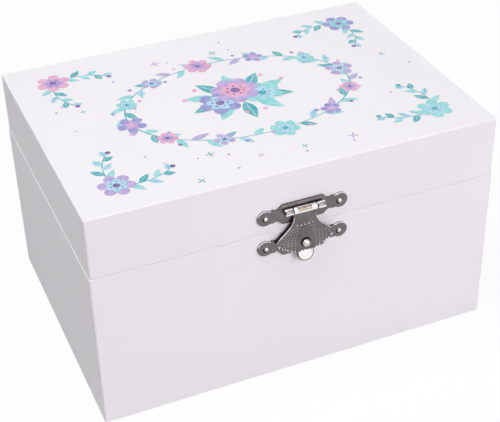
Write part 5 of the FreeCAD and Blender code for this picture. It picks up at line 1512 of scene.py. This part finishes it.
def limb(bm, joints, sides=14, mirror=1):
    """A limb through rows of x, y, z and radius, rounded by extra points between them."""
    rows = [(Vector((mirror * x, y, z)), radius) for x, y, z, radius in joints]
    points, radii = [], []
    for number in range(len(rows) - 1):
        near = [rows[min(max(number + k, 0), len(rows) - 1)] for k in (-1, 0, 1, 2)]
        a, b, c, d = (point for point, _ in near)
        first, second = near[1][1], near[2][1]
        for t in (0, 0.25, 0.5, 0.75):
            curve = (2 * a - 5 * b + 4 * c - d) * t * t + (3 * b - a - 3 * c + d) * t ** 3
            points.append(0.5 * (2 * b + (c - a) * t + curve))
            radii.append(first + (second - first) * t)
    points.append(rows[-1][0])
    radii.append(rows[-1][1])
    tube(bm, points, radii, sides)
    for end in (0, -1):
        ball(bm, at(*points[end]), radii[end], sides, 8)


def trunk(bm, rings, sides):
    """An upright form through rows of height, half width and half depth."""
    tube(bm, [(0, 0, row[0]) for row in rings], [row[1:] for row in rings], sides)


class JEWELLERY_BOX_OT_dancer_figure(bpy.types.Operator):
    """Model the dancer: head, arms, legs, bodice, shoes and hair"""

    bl_idname = "jewellery_box.dancer_figure"
    bl_label = "Dancer"

    # Limbs are rows of x, y, z and radius; the trunk's forms are rows of height, half width and half depth
    ARM = (
        (1.4, 0, 47.2, 0.95), (3.0, 0, 47.3, 1.12), (5.4, -0.7, 49.6, 1.0), (7.5, -1.4, 53.8, 0.78),
        (6.3, -1.8, 57.8, 0.8), (3.6, -2.0, 61.1, 0.52), (2.2, -2.0, 62.3, 0.55), (0.8, -2.0, 63.0, 0.28),
    )
    NECK = ((0, 0, 46, 1.7), (0, 0, 48.4, 1.25), (0, -0.1, 50.0, 0.98), (0, -0.15, 51.5, 1.02))
    CHEST = ((41.5, 2.5, 1.95), (43.5, 2.85, 2.15), (45.4, 3.0, 1.9), (47.0, 2.7, 1.5), (48.2, 1.3, 1.1))
    STANDING_LEG = (
        (-1.4, 0, 34.4, 2.05), (-1.25, -0.1, 30.4, 1.95), (-1.0, -0.25, 26, 1.55), (-0.75, -0.35, 22.2, 1.2),
        (-0.68, 0.15, 19, 1.28), (-0.5, 0.1, 15.8, 0.9), (-0.35, 0, 13.2, 0.7),
    )
    BENT_LEG = (
        (1.4, 0, 34.2, 2.05), (3.4, -1.2, 31.2, 1.85), (5.6, -2.6, 28, 1.5), (6.6, -3.2, 26.4, 1.22),
        (5.1, -2.8, 24.9, 1.25), (3.0, -2.2, 23.0, 0.95), (1.2, -1.7, 21.3, 0.68),
    )
    HIPS = ((32.0, 1.9, 1.5), (33.2, 2.75, 2.0), (35.0, 3.05, 2.3), (37.0, 2.8, 2.1), (39.6, 2.2, 1.8))
    SHOES = (
        (
            (-0.36, 0, 13.5, 0.76), (-0.26, -0.12, 12.3, 0.82),
            (-0.1, 0, 11.2, 0.6), (0, 0, 10.45, 0.42),
        ),
        (
            (1.4, -1.75, 21.5, 0.74), (0.8, -1.7, 20.5, 0.78),
            (0.3, -1.55, 19.5, 0.58), (-0.05, -1.5, 18.8, 0.4),
        ),
    )
    BODICE = (
        (35.2, 3.3, 2.55), (36.6, 3.2, 2.45), (38.4, 2.7, 2.15), (39.8, 2.5, 2.05),
        (41.4, 2.7, 2.2), (43.2, 3.05, 2.5), (44.6, 3.2, 2.5), (45.5, 3.12, 2.2),
    )
    STRAP = (
        (1.9, -1.9, 45.1, 0.22), (2.1, -1.3, 47.4, 0.22), (2.1, 0.1, 48.1, 0.22),
        (2.0, 1.3, 47.3, 0.22), (1.8, 1.8, 45.2, 0.22),
    )
    STAND = (
        (0, 5.2), (2.1, 5.2), (2.3, 5.4), (2.3, 8.0), (4.7, 8.0), (5.0, 8.3),
        (5.0, 9.4), (4.75, 9.75), (4.2, 9.95), (1.2, 10.02), (0, 10.02),
    )
    NECKLINE = 44
    WAIST = 39.8
    WAIST_BEAD_STEP = 0.42
    HEAD = Vector((0, -0.2, 53.64))
    HEAD_RADIUS = 3.15
    HEAD_HALF = 3.4

    def add(self, bm, name, finish, stands_for=()):
        """Finish one piece of the dancer, folded down as at rest."""
        return finish_piece(bm, name, "dancer", [finish], stands_for, 60, place=FOLDED)

    def skin(self, colours):
        return moulded("doll_skin", colours.skin, 0.4)

    def arms(self, colours):
        bm = bmesh.new()
        for side in SIDES:
            limb(bm, self.ARM, mirror=side)
        limb(bm, self.NECK)
        trunk(bm, self.CHEST, 24)
        merged(self.add(bm, "dancer_arms", self.skin(colours), ["dancer_figure"]), 0.26, 6)

    def legs(self, colours):
        bm = bmesh.new()
        limb(bm, self.STANDING_LEG)
        limb(bm, self.BENT_LEG)
        trunk(bm, self.HIPS, 24)
        merged(self.add(bm, "dancer_legs", moulded("doll_tights", colours.tights, 0.45, 0.2)), 0.26, 6)

    def shoes(self, colours):
        bm = bmesh.new()
        for shoe in self.SHOES:
            limb(bm, shoe, 16)
        for height, lean in ((14.2, 0.25), (15.1, -0.25)):
            ring(bm, 0.86, 0.13, at(-0.42, 0.05, height) @ turned(lean, "Y"), 24)
        self.add(bm, "dancer_shoes", satin("shoe_satin", colours.shoe))

    def bodice(self, colours):
        bm = bmesh.new()
        trunk(bm, self.BODICE, 40)
        for vert in bm.verts:
            if vert.co.z > self.NECKLINE and vert.co.y < 0:
                vert.co.z += 0.35 * math.cos(2.2 * vert.co.x) - 0.35
        for side in SIDES:
            limb(bm, self.STRAP, 8, side)
        for number in range(-6, 7):
            x = number * self.WAIST_BEAD_STEP
            ball(bm, at(x, -2.08 * math.sqrt(max(0.05, 1 - (x / 2.6) ** 2)), self.WAIST), 0.17)
        self.add(bm, "dancer_bodice", satin("bodice_satin", colours.bodice))

    def jaw(self, drop):
        """How much narrower the face is at a share of the way down to its chin."""
        return 1 - 0.2 * ease(drop, 0.05, 1.0)

    def head(self, colours):
        bm = bmesh.new()
        for vert in ball(bm, Matrix(), 1, 40, 28):
            x, y, z = vert.co
            face = ease(-y, 0.35, 0.95)
            nose = 0.12 * hump(x, 0.11, z + 0.12, 0.15) * face
            chin = 0.06 * hump(x, 0.25, z + 0.72, 0.2) * ease(-y, 0.1, 0.6)
            brow = -0.03 * hump(abs(x) - 0.36, 0.2, z - 0.06, 0.14) * face
            point = Vector((0.9 * x * self.jaw(-z), y - nose - chin - brow, 1.08 * z))
            vert.co = self.HEAD + self.HEAD_RADIUS * point
        for side in SIDES:
            ear = self.HEAD + Vector((side * 2.72, 0.1, -0.35))
            ball(bm, at(*ear) @ Matrix.Diagonal((0.25, 0.42, 0.62, 1)), 1, 12, 8)
        self.add(bm, "dancer_head", self.skin(colours))

    def on_face(self, x, z, lift=0.04):
        """A point on the face, given across and up from the head's centre."""
        wide = 0.9 * self.HEAD_RADIUS * self.jaw(-z / self.HEAD_HALF)
        inside = max(0.0, 1 - (x / wide) ** 2 - (z / self.HEAD_HALF) ** 2)
        return self.HEAD + Vector((x, -self.HEAD_RADIUS * math.sqrt(inside) - lift, z))

    def features(self, colours):
        """Lashes, brows and lips, as fine painted relief."""
        bm = bmesh.new()
        fourths = [step / 4 for step in range(-4, 5)]
        thirds = [step / 3 for step in range(-3, 4)]
        for side in SIDES:
            lash = [self.on_face(side * (1.05 + 0.52 * k), 0.12 - 0.2 * (1 - k ** 2)) for k in fourths]
            tube(bm, lash, [0.05, 0.08, 0.1, 0.11, 0.11, 0.11, 0.1, 0.08, 0.05], 8)
            brow = [self.on_face(side * (1.1 + 0.55 * k), 0.95 - 0.16 * k ** 2) for k in thirds]
            tube(bm, brow, [0.04, 0.07, 0.08, 0.08, 0.07, 0.06, 0.03], 8)
        self.add(bm, "dancer_lashes", strands("painted_hair", colours.hair))
        bm = bmesh.new()
        for height, size, dip in ((-1.42, 0.12, 0.05), (-1.62, 0.15, 0)):
            line = [
                self.on_face(0.55 * k, height + 0.06 * abs(k) - (0 if k else dip), 0.02)
                for k in thirds
            ]
            tube(bm, line, [0.03, 0.7 * size, size, 0.9 * size, size, 0.7 * size, 0.03], 8)
        self.add(bm, "dancer_lips", moulded("painted_lips", colours.lips, 0.35))

    def hair(self, colours):
        """A cap of hair with a bun, and a band round the bun."""
        bm = bmesh.new()
        ball(bm, Matrix(), 1, 40, 28)
        front = Vector((0, -0.8, -0.35)).normalized()
        for point, away in ((front * 0.52, front), ((0, 0, -0.72), (0, 0.2, -1))):
            whole = bm.verts[:] + bm.edges[:] + bm.faces[:]
            bmesh.ops.bisect_plane(bm, geom=whole, plane_co=point, plane_no=away, clear_outer=True)
        bmesh.ops.holes_fill(bm, edges=[edge for edge in bm.edges if edge.is_boundary])
        for vert in bm.verts:
            vert.co = self.HEAD + Vector((2.98 * vert.co.x, 3.38 * vert.co.y + 0.1, 3.55 * vert.co.z + 0.05))
        bun = at(*self.HEAD + Vector((0, 2.0, 3.0))) @ turned(math.radians(-34), "X")
        for radius, section, height in ((1.05, 0.52, -0.35), (0.82, 0.5, 0.18), (0.4, 0.48, 0.6)):
            ring(bm, radius, section, bun @ at(0, 0, height), 28, 1.0, 10)
        ball(bm, bun, 0.95, 16, 10)
        self.add(bm, "dancer_hair", strands("painted_hair", colours.hair))
        bm = bmesh.new()
        band = bun @ at(0, 0, -0.85)
        ring(bm, 1.42, 0.24, band, 32)
        for number in range(9):
            ball(bm, band @ at(*around(math.tau * number / 9, 1.55), 0), 0.3, 10, 6)
        self.add(bm, "dancer_hair_band", satin("bodice_satin", colours.bodice))

    def stand(self):
        """The round stand under the dancer's foot, with a row of beads."""
        bm = bmesh.new()
        lathe(bm, self.STAND, None, 48)
        for number in range(24):
            ball(bm, at(*around(math.tau * number / 24, 4.98), 8.9), 0.26)
        finish_piece(bm, "dancer_stand", "dancer", [white_plastic()], ["dancer_peg"], place=FOLDED)

    def execute(self, context):
        colours = context.scene.box_dancer
        self.arms(colours)
        self.legs(colours)
        self.shoes(colours)
        self.bodice(colours)
        self.head(colours)
        self.features(colours)
        self.hair(colours)
        self.stand()
        return {"FINISHED"}


class JEWELLERY_BOX_OT_dancer_skirt(bpy.types.Operator):
    """Gather three layers of net into the dancer's skirt"""

    bl_idname = "jewellery_box.dancer_skirt"
    bl_label = "Dancer's skirt"

    # For each layer: name, hem's radius, waist's height, droop, number of folds and where they start
    LAYERS = (
        ("upper", 12.9, 36.7, 1.2, 19, 0.0),
        ("middle", 13.4, 36.1, 1.7, 23, 1.1),
        ("lower", 12.5, 35.5, 2.2, 21, 2.3),
    )
    INNER = 3.15
    SEAM = 0.4
    LEAST_CUT = 0.01
    STEPS = 12

    def execute(self, context):
        for name, hem, waist, droop, folds, start in self.LAYERS:
            bm = bmesh.new()
            out = hem - self.INNER
            shares = [step / self.STEPS for step in range(self.STEPS + 1)]
            profile = [(self.INNER + out * share, waist - droop * share ** 1.6) for share in shares]
            for vert in lathe(bm, profile, None, 180):
                way = math.atan2(vert.co.y, vert.co.x)
                share = (math.hypot(vert.co.x, vert.co.y) - self.INNER) / out
                ripple = math.sin(folds * way + start) + 0.4 * math.sin((2 * folds + 3) * way + 2 * start)
                vert.co.z += 0.36 * share ** 0.8 * ripple
                vert.co.xy *= 1 + 0.012 * share * math.sin(folds * way + start + 1.2)
            stands_for = ["dancer_tutu"] if name == "upper" else []
            piece = finish_piece(
                bm, f"dancer_skirt_{name}", "dancer", [net()], stands_for, 80, place=FOLDED
            )
        return {"FINISHED"}


# Stage


class JEWELLERY_BOX_OT_stage(bpy.types.Operator):
    """Set the floor, the light and the camera"""

    bl_idname = "jewellery_box.stage"
    bl_label = "Floor, light and camera"

    WHITE = (1, 1, 1, 1)
    FLOOR_WHITE = 1.03
    FLOOR_SHARE = 0.9
    AIM = Vector((0, 0, 0.05))

    def seen(self, start):
        """1 for rays that show the background itself: straight, mirrored or through glass."""
        kinds = ("Is Camera Ray", "Is Glossy Ray", "Is Transmission Ray")
        camera, glossy, glass = (start.node("ShaderNodeLightPath", output=kind) for kind in kinds)
        return start.work("MAXIMUM", start.work("MAXIMUM", camera, glossy), glass)

    def floor(self, stage):
        """A pale floor that keeps the box's shadow and shows nearly white."""
        bm = bmesh.new()
        bmesh.ops.create_grid(bm, x_segments=8, y_segments=8, size=3)
        mesh = bpy.data.meshes.new("floor")
        bm.to_mesh(mesh)
        bm.free()
        floor = bpy.data.objects.new("floor", mesh)
        bpy.context.scene.collection.objects.link(floor)

        def paint(place):
            return {"Base Color": shades(spread(noise(place, 40)), stage.floor, 0.99, 1.01)}

        material = surface("pale_floor", paint, {"Roughness": 0.9, "Specular IOR Level": 0.1})
        tree = material.node_tree
        lit = Shade(tree, tree.nodes["Principled BSDF"].outputs[0])
        white = lit.node("ShaderNodeEmission", None, {"Color": self.WHITE, "Strength": self.FLOOR_WHITE})
        share = self.seen(lit) * self.FLOOR_SHARE
        shown = lit.node("ShaderNodeMixShader", None, {0: share, 1: lit, 2: white})
        tree.links.new(shown.socket, tree.nodes["Material Output"].inputs["Surface"])
        mesh.materials.append(material)

    def light(self, stage):
        """Even light from all round, a white background for the rays that show it, and three lamps."""
        world = bpy.data.worlds.new("studio")
        world.use_nodes = True
        tree = world.node_tree
        tree.nodes["Background"].inputs["Color"].default_value = tone(stage.sky_tint)
        tree.nodes["Background"].inputs["Strength"].default_value = stage.sky
        sky = Shade(tree, tree.nodes["Background"].outputs[0])
        white = sky.node("ShaderNodeBackground", None, {"Color": self.WHITE, "Strength": 1.0})
        shown = sky.node("ShaderNodeMixShader", None, {0: self.seen(sky), 1: sky, 2: white})
        tree.links.new(shown.socket, tree.nodes["World Output"].inputs["Surface"])
        bpy.context.scene.world = world
        for side in ("top", "front", "back"):
            self.lamp(stage, f"{side}_lamp")

    def lamp(self, stage, name):
        """A square soft lamp that points at the box."""
        lamp = bpy.data.lights.new(name, "AREA")
        lamp.energy = getattr(stage, name)
        lamp.color = getattr(stage, f"{name}_tint")
        lamp.shape = "SQUARE"
        lamp.size = stage.lamp_size
        holder = bpy.data.objects.new(name, lamp)
        holder.location = getattr(stage, f"{name}_place")
        holder.rotation_euler = (self.AIM - holder.location).to_track_quat("-Z", "Y").to_euler()
        bpy.context.scene.collection.objects.link(holder)

    def camera(self, stage):
        """The camera, from its turn, tilt and roll."""
        turn, tilt, roll = stage.camera_turn, stage.camera_tilt, stage.camera_roll
        ahead = Vector((-math.sin(turn) * math.cos(tilt), math.cos(turn) * math.cos(tilt), -math.sin(tilt)))
        right = Vector((math.cos(turn), math.sin(turn), 0))
        up = right.cross(ahead)
        across = math.cos(roll) * right + math.sin(roll) * up
        upward = -math.sin(roll) * right + math.cos(roll) * up
        data = bpy.data.cameras.new("camera")
        data.sensor_fit = "HORIZONTAL"
        data.sensor_width = 36
        data.lens = stage.camera_lens
        data.clip_start = 0.01
        camera = bpy.data.objects.new("camera", data)
        axes = Matrix((across, upward, -ahead)).transposed().to_4x4()
        camera.matrix_world = at(*stage.camera_place) @ axes
        bpy.context.scene.collection.objects.link(camera)
        bpy.context.scene.camera = camera

    def execute(self, context):
        stage = context.scene.box_stage
        self.floor(stage)
        self.light(stage)
        self.camera(stage)
        context.scene.view_settings.view_transform = "Standard"
        return {"FINISHED"}


STEPS = (
    JEWELLERY_BOX_OT_carcass,
    JEWELLERY_BOX_OT_lid_print,
    JEWELLERY_BOX_OT_clasp_plates,
    JEWELLERY_BOX_OT_clasp_hasp,
    JEWELLERY_BOX_OT_clasp_fastenings,
    JEWELLERY_BOX_OT_hinges,
    JEWELLERY_BOX_OT_winding_key,
    JEWELLERY_BOX_OT_lining,
    JEWELLERY_BOX_OT_pads,
    JEWELLERY_BOX_OT_mirror,
    JEWELLERY_BOX_OT_movement,
    JEWELLERY_BOX_OT_dancer_spring,
    JEWELLERY_BOX_OT_dancer_figure,
    JEWELLERY_BOX_OT_dancer_skirt,
    JEWELLERY_BOX_OT_stage,
)
GROUPS = {
    "box_paint": BoxPaint,
    "box_print": BoxPrint,
    "box_clasp": BoxClasp,
    "box_soft": BoxSoft,
    "box_dancer": BoxDancer,
    "box_stage": BoxStage,
}


class JEWELLERY_BOX_PT_steps(bpy.types.Panel):
    """Every step, in order, with its settings"""

    bl_idname = "JEWELLERY_BOX_PT_steps"
    bl_label = "Jewellery Box"
    bl_space_type = "VIEW_3D"
    bl_region_type = "UI"
    bl_category = "Jewellery Box"

    def draw(self, context):
        for step in STEPS:
            self.layout.operator(step.bl_idname)
        for group in GROUPS:
            box = self.layout.box()
            for name in GROUPS[group].__annotations__:
                box.prop(getattr(context.scene, group), name)


def register():
    for name, group in GROUPS.items():
        bpy.utils.register_class(group)
        setattr(bpy.types.Scene, name, PointerProperty(type=group))
    for item in (*STEPS, JEWELLERY_BOX_PT_steps):
        bpy.utils.register_class(item)


def unregister():
    for item in reversed((*STEPS, JEWELLERY_BOX_PT_steps)):
        bpy.utils.unregister_class(item)
    for name, group in GROUPS.items():
        delattr(bpy.types.Scene, name)
        bpy.utils.unregister_class(group)


def main():
    """Run every step in order."""
    register()
    for step in STEPS:
        getattr(bpy.ops.jewellery_box, step.bl_idname.split(".")[1])()


if __name__ == "__main__":
    main()
